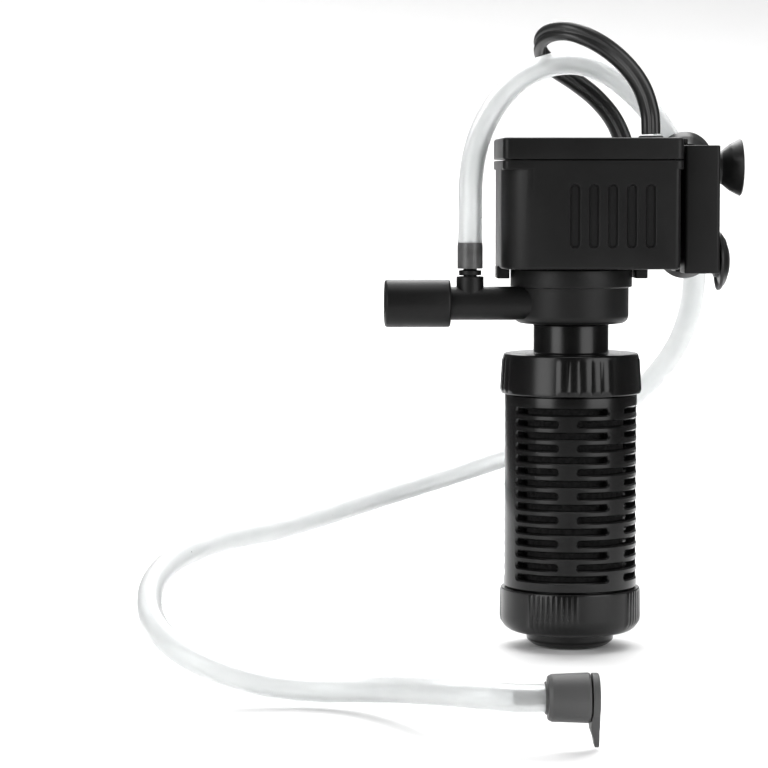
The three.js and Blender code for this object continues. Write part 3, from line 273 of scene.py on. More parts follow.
# ---------------------------------------------------------------- materials
def noise(nodes, links, place, scale, detail=3.0, distortion=0.0):
    made = nodes.new("ShaderNodeTexNoise")
    made.inputs["Scale"].default_value = scale
    made.inputs["Detail"].default_value = detail
    made.inputs["Distortion"].default_value = distortion
    links.new(place.outputs["Object"], made.inputs["Vector"])
    return made


def surface(name, dark, light, roughness, spread=0.06, patch=45, grain=1600, depth=0.02, sockets=None):
    """A procedural finish: two close colours in soft patches, uneven gloss, and a grain depth mm deep."""
    material = bpy.data.materials.new(name)
    material.use_nodes = True
    nodes, links = material.node_tree.nodes, material.node_tree.links
    shader = nodes["Principled BSDF"]
    place = nodes.new("ShaderNodeTexCoord")
    patches = noise(nodes, links, place, patch, 4)
    colours = nodes.new("ShaderNodeValToRGB")
    colours.color_ramp.elements[0].position = 0.35
    colours.color_ramp.elements[0].color = (*dark, 1)
    colours.color_ramp.elements[1].position = 0.65
    colours.color_ramp.elements[1].color = (*light, 1)
    links.new(patches.outputs["Fac"], colours.inputs["Fac"])
    links.new(colours.outputs["Color"], shader.inputs["Base Color"])
    gloss = nodes.new("ShaderNodeMapRange")
    gloss.inputs["To Min"].default_value = roughness - spread
    gloss.inputs["To Max"].default_value = roughness + spread
    wear = noise(nodes, links, place, patch * 3, 5)
    links.new(wear.outputs["Fac"], gloss.inputs["Value"])
    links.new(gloss.outputs["Result"], shader.inputs["Roughness"])
    fine = noise(nodes, links, place, grain, 2)
    bump = nodes.new("ShaderNodeBump")
    bump.inputs["Strength"].default_value = 0.6
    bump.inputs["Distance"].default_value = depth * MM
    links.new(fine.outputs["Fac"], bump.inputs["Height"])
    links.new(bump.outputs["Normal"], shader.inputs["Normal"])
    for socket, value in (sockets or {}).items():
        shader.inputs[socket].default_value = value
    return material


def grey(value, warmth=0.0):
    return (value * (1 + warmth), value, value * (1 - warmth))


LOOKS = {
    "shell": surface(
        "satin_black_abs", grey(0.0035), grey(0.0058), 0.42, 0.05, grain=1900, depth=0.02,
        sockets={"Specular IOR Level": 0.2},
    ),
    "cartridge": surface(
        "gloss_black_plastic", grey(0.0025), grey(0.0042), 0.25, 0.05, grain=1100, depth=0.006,
        sockets={"Specular IOR Level": 0.3},
    ),
    "rubber": surface("black_nitrile", grey(0.012), grey(0.02), 0.6, 0.08, grain=1500, depth=0.02),
    "cup_rubber": surface(
        "cup_pvc", grey(0.005), grey(0.009), 0.36, 0.06, grain=700, depth=0.008,
        sockets={"Specular IOR Level": 0.3},
    ),
    "cord": surface("cord_pvc", grey(0.0075), grey(0.012), 0.36, 0.06, grain=900, depth=0.012),
    "valve": surface("valve_grey", grey(0.04), grey(0.052), 0.55, 0.06, grain=1500, depth=0.03),
    "sponge": surface(
        "charcoal_foam", grey(0.003), grey(0.014), 0.95, 0.03, patch=900, grain=1100, depth=0.9,
    ),
    "nickel": surface(
        "nickel_plate", grey(0.55, 0.03), grey(0.66, 0.03), 0.2, 0.06, grain=500, depth=0.004,
        sockets={"Metallic": 1.0},
    ),
    "ferrite": surface("ferrite", grey(0.04), grey(0.06), 0.6, 0.08, grain=1200, depth=0.03),
    "ceramic": surface("ground_ceramic", grey(0.74, 0.03), grey(0.82, 0.03), 0.25, 0.05, depth=0.005),
    "lamination": surface(
        "steel_laminations", grey(0.28), grey(0.4), 0.42, 0.08, grain=900, depth=0.03,
        sockets={"Metallic": 1.0},
    ),
    "copper": surface(
        "enamelled_copper", (0.42, 0.13, 0.04), (0.56, 0.2, 0.07), 0.3, 0.05, grain=900, depth=0.1,
        sockets={"Metallic": 0.9},
    ),
    "bobbin": surface("natural_nylon", grey(0.6, 0.06), grey(0.7, 0.06), 0.45, 0.06, depth=0.01),
    "resin": surface("potting_resin", grey(0.012, 0.1), grey(0.02, 0.1), 0.18, 0.05, patch=90, depth=0.02),
    "air_tube": surface(
        "frosted_pvc", (0.82, 0.835, 0.835), (0.87, 0.88, 0.88), 0.3, 0.05, patch=120, grain=500, depth=0.01,
        sockets={"Transmission Weight": 0.75, "IOR": 1.42},
    ),
    "stretched_tube": surface(
        "frosted_pvc_over_barb", grey(0.075), grey(0.12), 0.34, 0.05, patch=220, grain=500, depth=0.02,
        sockets={"Transmission Weight": 0.3, "IOR": 1.42},
    ),
    "tie": surface("velcro_tie", grey(0.012), grey(0.03), 0.9, 0.05, patch=1500, grain=2500, depth=0.25),
}


# ---------------------------------------------------------------- mesh tools
def clean(mesh):
    """Merges doubled points, drops empty faces and turns every face out."""
    work = bmesh.new()
    work.from_mesh(mesh)
    bmesh.ops.remove_doubles(work, verts=work.verts, dist=1e-4)
    bmesh.ops.dissolve_degenerate(work, edges=work.edges, dist=1e-5)
    bmesh.ops.delete(work, geom=[e for e in work.edges if not e.link_faces], context="EDGES")
    bmesh.ops.recalc_face_normals(work, faces=work.faces)
    work.to_mesh(mesh)
    work.free()


def solid(name, points, faces):
    mesh = bpy.data.meshes.new(name)
    mesh.from_pydata([tuple(p) for p in points], [], faces)
    clean(mesh)
    made = bpy.data.objects.new(name, mesh)
    bpy.context.scene.collection.objects.link(made)
    return made


def skin(name, rings, loop=False, mirrored_caps=False):
    """A closed solid over rings of equal size. With loop, the last ring joins the first, and else both ends
    are capped. mirrored_caps is for curved ends whose point k faces point -k: they get a strip of faces."""
    rings = np.asarray(rings, float)
    count, sides = rings.shape[:2]
    faces = []
    for i in range(count if loop else count - 1):
        a, b = i * sides, (i + 1) % count * sides
        for j in range(sides):
            k = (j + 1) % sides
            faces.append((a + j, a + k, b + k, b + j))
    if not loop:
        for first in (0, (count - 1) * sides):
            if mirrored_caps:
                half = sides // 2
                strip = [(k, k + 1, sides - k - 1, (sides - k) % sides) for k in range(half)]
                faces += [tuple(dict.fromkeys(first + k for k in face)) for face in strip]
            else:
                faces.append(tuple(range(first, first + sides)))
    return solid(name, rings.reshape(-1, 3), faces)


def rounded(corners, steps=4):
    """A closed outline from (x, y, radius) corners, with an arc at each corner that has a radius."""
    points = []
    for i, (x, y, radius) in enumerate(corners):
        here = np.array((x, y), float)
        if radius <= 0:
            points.append(here)
            continue
        back = np.array(corners[i - 1][:2], float) - here
        ahead = np.array(corners[(i + 1) % len(corners)][:2], float) - here
        back /= np.linalg.norm(back)
        ahead /= np.linalg.norm(ahead)
        half = math.acos(np.clip(back @ ahead, -1, 1)) / 2
        middle = (back + ahead) / np.linalg.norm(back + ahead)
        centre = here + middle * radius / math.sin(half)
        first = here + back * radius / math.tan(half) - centre
        last = here + ahead * radius / math.tan(half) - centre
        start = math.atan2(first[1], first[0])
        sweep = (math.atan2(last[1], last[0]) - start + math.pi) % (2 * math.pi) - math.pi
        for k in range(steps + 1):
            angle = start + sweep * k / steps
            points.append(centre + radius * np.array((math.cos(angle), math.sin(angle))))
    return np.array(points)


def lathe(name, corners, sides=ROUND, steps=4, relief=None, angles=None):
    """A turned solid from (radius, height, fillet) corners of its closed section. relief(degrees, radius,
    height) adds to its radius there."""
    profile = rounded(corners, steps)
    degrees = np.arange(sides) * 360 / sides if angles is None else np.array(angles)
    turn = np.radians(degrees - 90)
    rings = []
    for radius, height in profile:
        radii = np.full(len(turn), float(radius))
        if relief is not None:
            radii = radii + relief(degrees, radius, height)
        rings.append(np.stack([radii * np.cos(turn), radii * np.sin(turn), np.full(len(turn), height)], 1))
    return skin(name, rings, loop=True)


def slab(name, outline, low, high, low_edge=0.0, high_edge=0.0, steps=3):
    """An upright solid with the outline outline(inset), and with its lower and upper edges rounded."""
    rings = []
    for k in range(steps + 1 if low_edge else 1):
        angle = math.pi / 2 * k / steps
        inset = low_edge * (1 - math.sin(angle))
        rings.append((inset, low + low_edge * (1 - math.cos(angle))))
    for k in range(steps + 1 if high_edge else 1):
        angle = math.pi / 2 * (1 - k / steps)
        inset = high_edge * (1 - math.sin(angle))
        rings.append((inset, high - high_edge * (1 - math.cos(angle))))
    if not high_edge:
        rings[-1] = (0, high)
    return skin(name, [[(x, y, z) for x, y in outline(inset)] for inset, z in rings])


def block_outline(x0, x1, y0, y1, left=0.6, right=None, steps=6):
    """outline(inset) of a rectangle with its own corner radius on the left and on the right."""
    right = left if right is None else right

    def outline(inset):
        a, b = max(left - inset, 0.05), max(right - inset, 0.05)
        return rounded([
            (x0 + inset, y0 + inset, a), (x1 - inset, y0 + inset, b),
            (x1 - inset, y1 - inset, b), (x0 + inset, y1 - inset, a),
        ], steps)

    return outline


def block(name, low, high, edge=0.4, corner=0.4):
    outline = block_outline(low[0], high[0], low[1], high[1], corner)
    return slab(name, outline, low[2], high[2], edge, edge)


def cylinder(name, radius, low, high, sides=SMALL_ROUND):
    turn = np.arange(sides) * 2 * math.pi / sides
    ring = [(radius * math.cos(a), radius * math.sin(a)) for a in turn]
    return skin(name, [[(x, y, z) for x, y in ring] for z in (low, high)])


def moved(obj, matrix):
    obj.data.transform(matrix)
    return obj


def shift(x=0.0, y=0.0, z=0.0):
    return Matrix.Translation((x, y, z))


def turned(degrees, axis):
    return Matrix.Rotation(math.radians(degrees), 4, axis)


def merged(objects):
    """Several separate solids as one object."""
    work = bmesh.new()
    for obj in objects:
        work.from_mesh(obj.data)
    first = objects[0]
    work.to_mesh(first.data)
    work.free()
    for obj in objects[1:]:
        bpy.data.objects.remove(obj)
    return first


def boolean(target, tool, how):
    step = target.modifiers.new("step", "BOOLEAN")
    step.operation = how
    step.solver = "EXACT"
    step.object = tool
    graph = bpy.context.evaluated_depsgraph_get()
    result = bpy.data.meshes.new_from_object(target.evaluated_get(graph))
    target.modifiers.clear()
    target.data = result
    bpy.data.objects.remove(tool)
    return target


def add(target, *tools):
    for tool in tools:
        boolean(target, tool, "UNION")
    return target


def carve(target, *tools):
    for tool in tools:
        boolean(target, tool, "DIFFERENCE")
    return target


def place(obj, name, body, slot, nodes=(), look=None, smooth=35):
    """Turns a finished mesh into metres and makes it a named piece of the model."""
    obj.name = name
    obj.data.name = name
    obj.data.transform(Matrix.Scale(MM, 4))
    obj.data.materials.clear()
    obj.data.materials.append(look or LOOKS[slot])
    obj.data.shade_smooth()
    obj.data.set_sharp_from_angle(angle=math.radians(smooth))
    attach(obj, body)
    if nodes:
        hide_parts(*nodes)
    return obj


def spline(route, per_piece=6):
    """Points along a centripetal Catmull-Rom curve through the route, per_piece for each piece of it."""
    knots = [np.array(p, float) for p in route]
    knots = [2 * knots[0] - knots[1], *knots, 2 * knots[-1] - knots[-2]]
    points = []
    for i in range(1, len(knots) - 2):
        p = knots[i - 1 : i + 3]
        t = [0.0]
        for a, b in zip(p, p[1:]):
            t.append(t[-1] + max(np.linalg.norm(b - a), 1e-6) ** 0.5)
        last = i == len(knots) - 3
        for u in np.linspace(t[1], t[2], per_piece + 1)[: None if last else -1]:
            a = [
                p[k] * (t[k + 1] - u) / (t[k + 1] - t[k]) + p[k + 1] * (u - t[k]) / (t[k + 1] - t[k])
                for k in range(3)
            ]
            b = [
                a[k] * (t[k + 2] - u) / (t[k + 2] - t[k]) + a[k + 1] * (u - t[k]) / (t[k + 2] - t[k])
                for k in range(2)
            ]
            points.append(b[0] * (t[2] - u) / (t[2] - t[1]) + b[1] * (u - t[1]) / (t[2] - t[1]))
    return np.array(points)


def directions(points):
    way = np.gradient(points, axis=0)
    return way / np.linalg.norm(way, axis=1, keepdims=True)


# ---------------------------------------------------------------- cartridge
def ribs(centres, pitch, count, depth, low, high, run_out=0.8):
    """relief() for lathe: groups of upright grip ribs on the outside, fading over run_out mm at both ends."""

    def relief(degrees, radius, height):
        if radius < TENON_RADIUS + 1 or not low - run_out < height < high + run_out:
            return np.zeros(len(degrees))
        fade = min(1, (height - low + run_out) / run_out, (high + run_out - height) / run_out)
        total = np.zeros(len(degrees))
        for centre in centres:
            away = (degrees - centre + 180) % 360 - 180
            inside = np.abs(away) < pitch * count / 2
            total += inside * np.abs(np.sin(np.pi * (away / pitch + count / 2))) ** 0.7
        return depth * fade * total

    return relief


def rib_angles(centres, pitch, count, per_rib=8, plain=3.0):
    """Angles for lathe: close together over the ribs, and plain degrees apart between them."""
    fine = [
        (centre + pitch * (k / per_rib - count / 2)) % 360
        for centre in centres
        for k in range(per_rib * count + 1)
    ]
    coarse = [
        a for a in np.arange(0, 360, plain)
        if min(abs((a - centre + 180) % 360 - 180) for centre in centres) > pitch * count / 2 + 1
    ]
    return sorted(fine + coarse)


def slot_tool(name, start, end, height):
    """A cutter for one slot round the cage: round ends, and a chamfered lip at the outer face."""
    length = math.radians(end - start) * CAGE_RADIUS
    pieces = max(3, round(length / 1.2))
    quarter = np.linspace(0, math.pi / 2, 6)
    rings = []
    for radius, spare in (
        (CAGE_RADIUS - CAGE_WALL - 2, 0.0),
        (CAGE_RADIUS - SLOT_CHAMFER, 0.0),
        (CAGE_RADIUS + 0.03, SLOT_CHAMFER),
        (CAGE_RADIUS + 1, SLOT_CHAMFER),
    ):
        half, reach = SLOT_HEIGHT / 2 + spare, (length - SLOT_HEIGHT) / 2
        lower = [(-reach - half * math.cos(a), -half * math.sin(a)) for a in quarter[:-1]]
        lower += [(along, -half) for along in np.linspace(-reach, reach, pieces)]
        lower += [(reach + half * math.sin(a), -half * math.cos(a)) for a in quarter[1:]]
        outline = lower + [(along, -up) for along, up in lower[-2:0:-1]]
        turn = [math.radians((start + end) / 2 - 90) + along / CAGE_RADIUS for along, _ in outline]
        rings.append([
            (radius * math.cos(a), radius * math.sin(a), height + up)
            for a, (_, up) in zip(turn, outline)
        ])
    return skin(name, rings, mirrored_caps=True)


def cartridge_cage():
    low, high, inner = CAP_TOP - CAGE_TENON, COLLAR_BASE + CAGE_TENON, TENON_RADIUS - CAGE_WALL
    cage = lathe("cage", [
        (inner, low, 0.3), (TENON_RADIUS, low, 0.3), (TENON_RADIUS, CAP_TOP + GAP, 0),
        (CAGE_RADIUS, CAP_TOP + GAP, 0.3), (CAGE_RADIUS, COLLAR_BASE - GAP, 0.3),
        (TENON_RADIUS, COLLAR_BASE - GAP, 0), (TENON_RADIUS, high, 0.3), (inner, high, 0.3),
    ], sides=144)
    rows = math.floor((COLLAR_BASE - CAP_TOP - 2 * SLOT_MARGIN) / SLOT_PITCH) + 1
    tools = []
    for row in range(rows):
        for start, end in LONG_ROW if row % 2 == 0 else SPLIT_ROW:
            for half in (0, 180):
                height = CAP_TOP + SLOT_MARGIN + row * SLOT_PITCH
                tools.append(slot_tool("slot", start + half, end + half, height))
    carve(cage, merged(tools))
    place(cage, "cartridge_cage", "cartridge", "cartridge", ["filter_cage"], smooth=28)


def sponge_core():
    """A foam sleeve whose face swells and pits a little, as cut foam does."""
    low, high = sponge_low[2], sponge_high[2]
    generator = np.random.default_rng(7)
    sides, levels = 120, 90
    rings = []
    for height in np.linspace(low, high, levels):
        radius = sponge_high[0] - 0.3 - 0.35 * generator.random(sides)
        turn = np.arange(sides) * 2 * math.pi / sides
        rings.append(np.stack([radius * np.cos(turn), radius * np.sin(turn), np.full(sides, height)], 1))
    bore = [
        np.stack([SPONGE_BORE_RADIUS * np.cos(turn), SPONGE_BORE_RADIUS * np.sin(turn), np.full(sides, h)], 1)
        for h in (high, low)
    ]
    sponge = skin("sponge", [*rings, *bore], loop=True)
    place(sponge, "sponge_core", "cartridge", "sponge", ["filter_sponge"], smooth=60)


def cartridge_collar():
    top = COLLAR_BASE + COLLAR_HEIGHT
    groups = [7 + 360 / RIB_GROUPS * k for k in range(RIB_GROUPS)]
    collar = lathe(
        "collar",
        [
            (NECK_BORE_RADIUS, top - 1.6, 0), (TENON_RADIUS + GAP, top - 1.6, 0.3),
            (TENON_RADIUS + GAP, COLLAR_BASE, 0.2), (COLLAR_RADIUS_BASE, COLLAR_BASE, 0.35),
            (COLLAR_RADIUS_BASE - 0.08, COLLAR_BASE + 1, 0), (COLLAR_RADIUS_BASE - 0.1, COLLAR_BASE + 1.6, 0),
            (COLLAR_RADIUS_TOP + 0.05, top - 1.9, 0), (COLLAR_RADIUS_TOP, top - 1.3, 0),
            (COLLAR_RADIUS_TOP, top, 0.8), (NECK_RADIUS, top, 0.5),
            (NECK_RADIUS, NECK_TOP, 0.3), (NECK_BORE_RADIUS, NECK_TOP, 0.2),
        ],
        relief=ribs(groups, COLLAR_RIB_PITCH, COLLAR_RIBS, 0.3, COLLAR_BASE + 1, top - 1.6, 0.5),
        angles=rib_angles(groups, COLLAR_RIB_PITCH, COLLAR_RIBS),
    )
    place(collar, "cartridge_collar", "cartridge", "cartridge", ["cartridge_top_cap"], smooth=35)


def cartridge_base_cap():
    bore = TENON_RADIUS + 0.4
    groups = [-20 + 360 / RIB_GROUPS * k for k in range(RIB_GROUPS)]
    cap = lathe(
        "cap",
        [
            (0, 0, 0), (BOSS_FLAT_RADIUS, 0, 1.2), (BOSS_RADIUS, 1.4, 0.9), (BOSS_RADIUS, BOSS_HEIGHT, 0.3),
            (CAP_RADIUS, BOSS_HEIGHT, CAP_FILLET), (CAP_RADIUS, BOSS_HEIGHT + CAP_FILLET + 0.6, 0),
            (CAP_RADIUS, CAP_TOP - 0.9, 0), (CAP_RADIUS, CAP_TOP, 0.35),
            (bore, CAP_TOP, 0.2), (bore, CAP_FLOOR, 0.5), (0, CAP_FLOOR, 0),
        ],
        steps=6,
        relief=ribs(groups, CAP_RIB_PITCH, CAP_RIBS, 0.22, BOSS_HEIGHT + 2.4, CAP_TOP - 1, 0.4),
        angles=rib_angles(groups, CAP_RIB_PITCH, CAP_RIBS),
    )
    place(cap, "cartridge_base_cap", "bottom_cap", "cartridge", ["cartridge_bottom_cap"], smooth=35)


# ---------------------------------------------------------------- impeller chamber and outlet
def along_outlet(obj):
    """Turns a piece drawn up Z so that it runs along the outlet, to -X."""
    return moved(obj, shift(0, OUTLET_Y, OUTLET_Z) @ turned(-90, "Y"))


def upright_at_nozzle(obj):
    return moved(obj, shift(NOZZLE_X, OUTLET_Y, 0))


def shaft_spider():
    """Three arms in the inlet that hold the seat of the lower shaft bush."""
    low, high = CHAMBER_BASE - 1, CHAMBER_BASE + CHAMBER_WALL
    half = SPIDER_ARM_WIDTH / 2
    spider = cylinder("spider", SPIDER_RADIUS, low, high, 32)
    for arm in range(3):
        bar = block("bar", (0, -half, low), (SPIDER_ARM_LENGTH, half, high), 0.1, 0.1)
        add(spider, moved(bar, turned(120 * arm, "Z")))
    return carve(spider, cylinder("bush_room", BUSH_ROOM_RADIUS, low + 0.8, high + 1, 32))


def impeller_housing():
    inner, floor = CHAMBER_RADIUS - CHAMBER_WALL, CHAMBER_BASE + CHAMBER_WALL
    body = lathe("chamber", [
        (INLET_BORE_RADIUS, chamber_low[2], 0.2), (INLET_RADIUS, chamber_low[2], 0.3),
        (INLET_RADIUS, CHAMBER_BASE, 0.3), (CHAMBER_RADIUS, CHAMBER_BASE, 2.2),
        (CHAMBER_RADIUS, CHAMBER_SHOULDER, 0.25), (CHAMBER_RING_RADIUS, CHAMBER_SHOULDER, 0.35),
        (CHAMBER_RING_RADIUS, CHAMBER_TOP, 0.3), (inner, CHAMBER_TOP, 0.2), (inner, floor, 0.5),
        (INLET_BORE_RADIUS, floor, 0.3),
    ], steps=5)
    outlet = along_outlet(lathe("outlet", [
        (0, OUTLET_START, 0), (OUTLET_RADIUS, OUTLET_START, 0),
        (OUTLET_RADIUS, -OUTLET_END, 0.3), (0, -OUTLET_END, 0),
    ], 64))
    boss = upright_at_nozzle(lathe("boss", [
        (0, OUTLET_Z, 0), (NOZZLE_BOSS_RADIUS, OUTLET_Z, 0),
        (NOZZLE_BOSS_RADIUS, NOZZLE_BOSS_TOP, 0.3), (0, NOZZLE_BOSS_TOP, 0),
    ], SMALL_ROUND))
    add(outlet, boss)
    carve(outlet, cylinder("room", inner - 0.01, CHAMBER_BASE - 5, CHAMBER_TOP + 5, ROUND))
    add(body, outlet, shaft_spider())
    carve(body, along_outlet(cylinder("bore", OUTLET_BORE_RADIUS, inner / 2, 1 - OUTLET_END)))
    carve(body, upright_at_nozzle(cylinder("nozzle_bore", NOZZLE_BORE_RADIUS, OUTLET_Z, NOZZLE_BOSS_TOP + 1)))
    place(body, "impeller_housing", "pump_head", "shell", ["impeller_chamber"], smooth=30)


def outlet_nozzle():
    start, end = -sleeve_high[0], -sleeve_low[0]
    sleeve = lathe("sleeve", [
        (SLEEVE_BORE_RADIUS, start, 0.2), (SLEEVE_RADIUS, start, 0.7), (SLEEVE_RADIUS, end, 0.8),
        (SLEEVE_MOUTH_RADIUS, end, 0.2), (SLEEVE_MOUTH_RADIUS, end - SLEEVE_MOUTH_DEPTH, 0.2),
        (SLEEVE_BORE_RADIUS, end - SLEEVE_MOUTH_DEPTH, 0),
    ], 72)
    place(along_outlet(sleeve), "outlet_nozzle", "outlet", "shell", ["outlet_sleeve"])


def barb_corners(start, length, count=3, radius=1.85, root=1.5):
    """Corners of a row of hose barbs up Z, each a sharp shoulder and a taper."""
    corners = []
    for i in range(count):
        corners.append((radius, start + i * length / count + 0.12, 0.05))
        corners.append((root, start + (i + 1) * length / count, 0.05))
    return corners


def nozzle_barb():
    foot = NOZZLE_BOSS_TOP + GAP
    shoulder = foot + NOZZLE_FLANGE_HEIGHT
    nozzle = lathe("nozzle", [
        (NOZZLE_AIR_RADIUS, nozzle_low[2], 0), (NOZZLE_STEM_RADIUS, nozzle_low[2], 0.2),
        (NOZZLE_STEM_RADIUS, foot, 0), (NOZZLE_FLANGE_RADIUS, foot, 0.2),
        (NOZZLE_FLANGE_RADIUS, shoulder, 0.2), *barb_corners(shoulder, nozzle_high[2] - shoulder),
        (NOZZLE_AIR_RADIUS, nozzle_high[2], 0),
    ], SMALL_ROUND, 3)
    place(upright_at_nozzle(nozzle), "nozzle_barb", "pump_head", "shell", ["air_nozzle"])


# ---------------------------------------------------------------- pump head
def groove_tool(x, side):
    """A cutter for one upright groove with round ends and a rounded lip, on the front (-1) or back (1)."""
    turn = np.linspace(0, math.pi, 13)
    rings = []
    for depth, spare in (
        (0.6, 0.34), (-0.02, 0.34), (-0.14, 0.16), (-0.36, 0.02), (-0.6, 0.0), (-GROOVE_DEPTH, -0.2),
    ):
        half, reach = GROOVE_WIDTH / 2 + spare, (GROOVE_LENGTH - GROOVE_WIDTH) / 2
        y = side * (HEAD_HALF_DEPTH + depth)
        ring = [(x + half * math.cos(a), y, GROOVE_MIDDLE + reach + half * math.sin(a)) for a in turn]
        ring += [(x - half * math.cos(a), y, GROOVE_MIDDLE - reach - half * math.sin(a)) for a in turn]
        rings.append(ring)
    return skin("groove", rings)


def clip_lug(side):
    """A lug under the housing, on the left (-1) or right (1), with a window through it."""
    x, y, half = side * CLIP_X, CLIP_WIDTH / 2, CLIP_THICKNESS / 2
    lug = block("lug", (x - half, -y, HEAD_BASE - CLIP_DROP), (x + half, y, HEAD_BASE + 0.6), 0.3, 0.5)
    window = block("window", (x - 3, -1, HEAD_BASE - 2), (x + 3, 1, HEAD_BASE - 0.8), 0.1, 0.1)
    return carve(lug, window)


def bracket_rail():
    """A rail with a T section, which the bracket slides on."""
    low, high = HEAD_BASE + 1, HEAD_BASE + 1 + RAIL_HEIGHT
    head_x = bracket_low[0] + BRACKET_WALL + RAIL_CLEARANCE
    head_end = head_x + RAIL_HEAD_THICKNESS
    stem_half, head_half = RAIL_STEM_WIDTH / 2, RAIL_HEAD_WIDTH / 2
    stem = block("stem", (HEAD_RIGHT - 1, -stem_half, low), (head_x + 0.2, stem_half, high), 0.2, 0.2)
    return add(stem, block("head", (head_x, -head_half, low), (head_end, head_half, high), 0.2, 0.2))


def head_room(inset):
    """The outline of the space this far inside the housing's outside."""
    deep = HEAD_HALF_DEPTH - inset
    return block_outline(HEAD_LEFT + inset, HEAD_RIGHT - inset, -deep, deep, HEAD_LEFT_CORNER - HEAD_WALL, 1)


def pump_housing():
    deep = HEAD_HALF_DEPTH
    wall_outline = block_outline(HEAD_LEFT, HEAD_RIGHT, -deep, deep, HEAD_LEFT_CORNER, HEAD_RIGHT_CORNER, 12)
    shell = slab("housing", wall_outline, HEAD_BASE, HEAD_SEAM - 0.9, 0.7, 0)
    lip_outline = block_outline(HEAD_LEFT, HEAD_RIGHT + LID_OVERHANG, -deep, deep, LID_CORNER, LID_CORNER)
    add(shell, slab("lip", lip_outline, HEAD_SEAM - LIP_HEIGHT, HEAD_SEAM, 0.3, 0.3))
    carve(shell, slab("room", head_room(HEAD_WALL), HEAD_BASE + HEAD_WALL, HEAD_SEAM + 1))
    carve(shell, merged([groove_tool(x, side) for x in GROOVE_XS for side in (-1, 1)]))
    add(shell, cylinder("well", WELL_RADIUS + WELL_WALL, HEAD_BASE, WELL_TOP))
    add(shell, clip_lug(-1), clip_lug(1), bracket_rail())
    carve(shell, cylinder("rotor_room", WELL_RADIUS, HEAD_BASE - 1, WELL_TOP - WELL_WALL))
    place(shell, "pump_housing", "pump_head", "shell", ["motor_housing"], smooth=30)


def pump_lid():
    deep, right = HEAD_HALF_DEPTH, HEAD_RIGHT + LID_OVERHANG
    low, high = HEAD_SEAM + GAP, lid_high[2]
    outline = block_outline(HEAD_LEFT, right, -deep, deep, LID_CORNER, LID_CORNER)
    lid = slab("lid", outline, low, high, 0.3, 0.8, 5)
    add(lid, slab("tongue", head_room(HEAD_WALL + GAP), lid_low[2], low + 0.3))
    carve(lid, slab("room", head_room(HEAD_WALL + GAP + LID_TONGUE_WALL), lid_low[2] - 1, high - LID_WALL))
    boss = moved(cylinder("boss", GLAND_RADIUS + 1, low + 1, high - 0.5), shift(GLAND_X, GLAND_Y))
    tab = block("tab", (right - 0.8, -3, bracket_high[2] + 0.4), (lid_high[0], 3, high - 0.1), 0.25, 0.9)
    add(lid, boss, tab)
    opening = cylinder("opening", GLAND_RADIUS + GAP, lid_low[2] - 1, high + 1)
    carve(lid, moved(opening, shift(GLAND_X, GLAND_Y)))
    carve(lid, moved(cylinder("hole", 0.8, low, high + 1, 24), shift(right + 1.8)))
    place(lid, "pump_lid", "pump_head", "shell", ["housing_lid"], smooth=30)


def lead_gland():
    high = gland_high[2]
    gland = lathe("gland", [
        (0, gland_low[2], 0), (2.2, gland_low[2], 0.3), (2.7, HEAD_SEAM + GAP, 0),
        (GLAND_RADIUS, HEAD_SEAM + GAP, 0.2), (GLAND_RADIUS, high, 0.5), (2.9, high, 0.15),
        (2.75, high - 0.25, 0), (0, high - 0.25, 0),
    ], SMALL_ROUND)
    place(moved(gland, shift(GLAND_X, GLAND_Y)), "lead_gland", "pump_head", "rubber", ["cable_gland"])


# ---------------------------------------------------------------- suction bracket
def bracket_block():
    (x0, y0, z0), (x1, y1, z1) = bracket_low, bracket_high
    shell = slab("bracket", block_outline(x0, x1, y0, y1, 0.9), z0, z1, 0.35, 0.35)
    inside = block_outline(x0 + BRACKET_WALL, x1 - BRACKET_WALL, y0 + BRACKET_WALL, y1 - BRACKET_WALL, 0.4)
    carve(shell, slab("room", inside, z0 - 1, z1 + 1))
    half = RAIL_STEM_WIDTH / 2 + RAIL_CLEARANCE
    slot_outline = block_outline(x0 - 1, x0 + BRACKET_WALL + 1, -half, half, 0.1)
    carve(shell, slab("slot", slot_outline, z0 - 1, z1 + 1))
    hole = CUP_STEM_RADIUS + GAP
    for node in ("lower", "upper"):
        x, y, z = cup_foot(f"suction_cup_right_{node}", 0)
        carve(shell, moved(cylinder("hole", hole, -3, 3, 32), shift(x, y, z) @ turned(90, "Y")))
        x, y, z = cup_foot(f"suction_cup_rear_{node}", 1)
        carve(shell, moved(cylinder("hole", hole, -3, 3, 32), shift(x, y, z) @ turned(-90, "X")))
    place(shell, "bracket_block", "bracket", "shell", ["suction_bracket"])


def cup_foot(node, axis):
    """Where a cup's axis meets the bracket's outer face, the side (axis 0) or the rear (axis 1)."""
    low, high = box_mm(node)
    foot = (low + high) / 2
    foot[axis] = bracket_high[axis]
    return foot


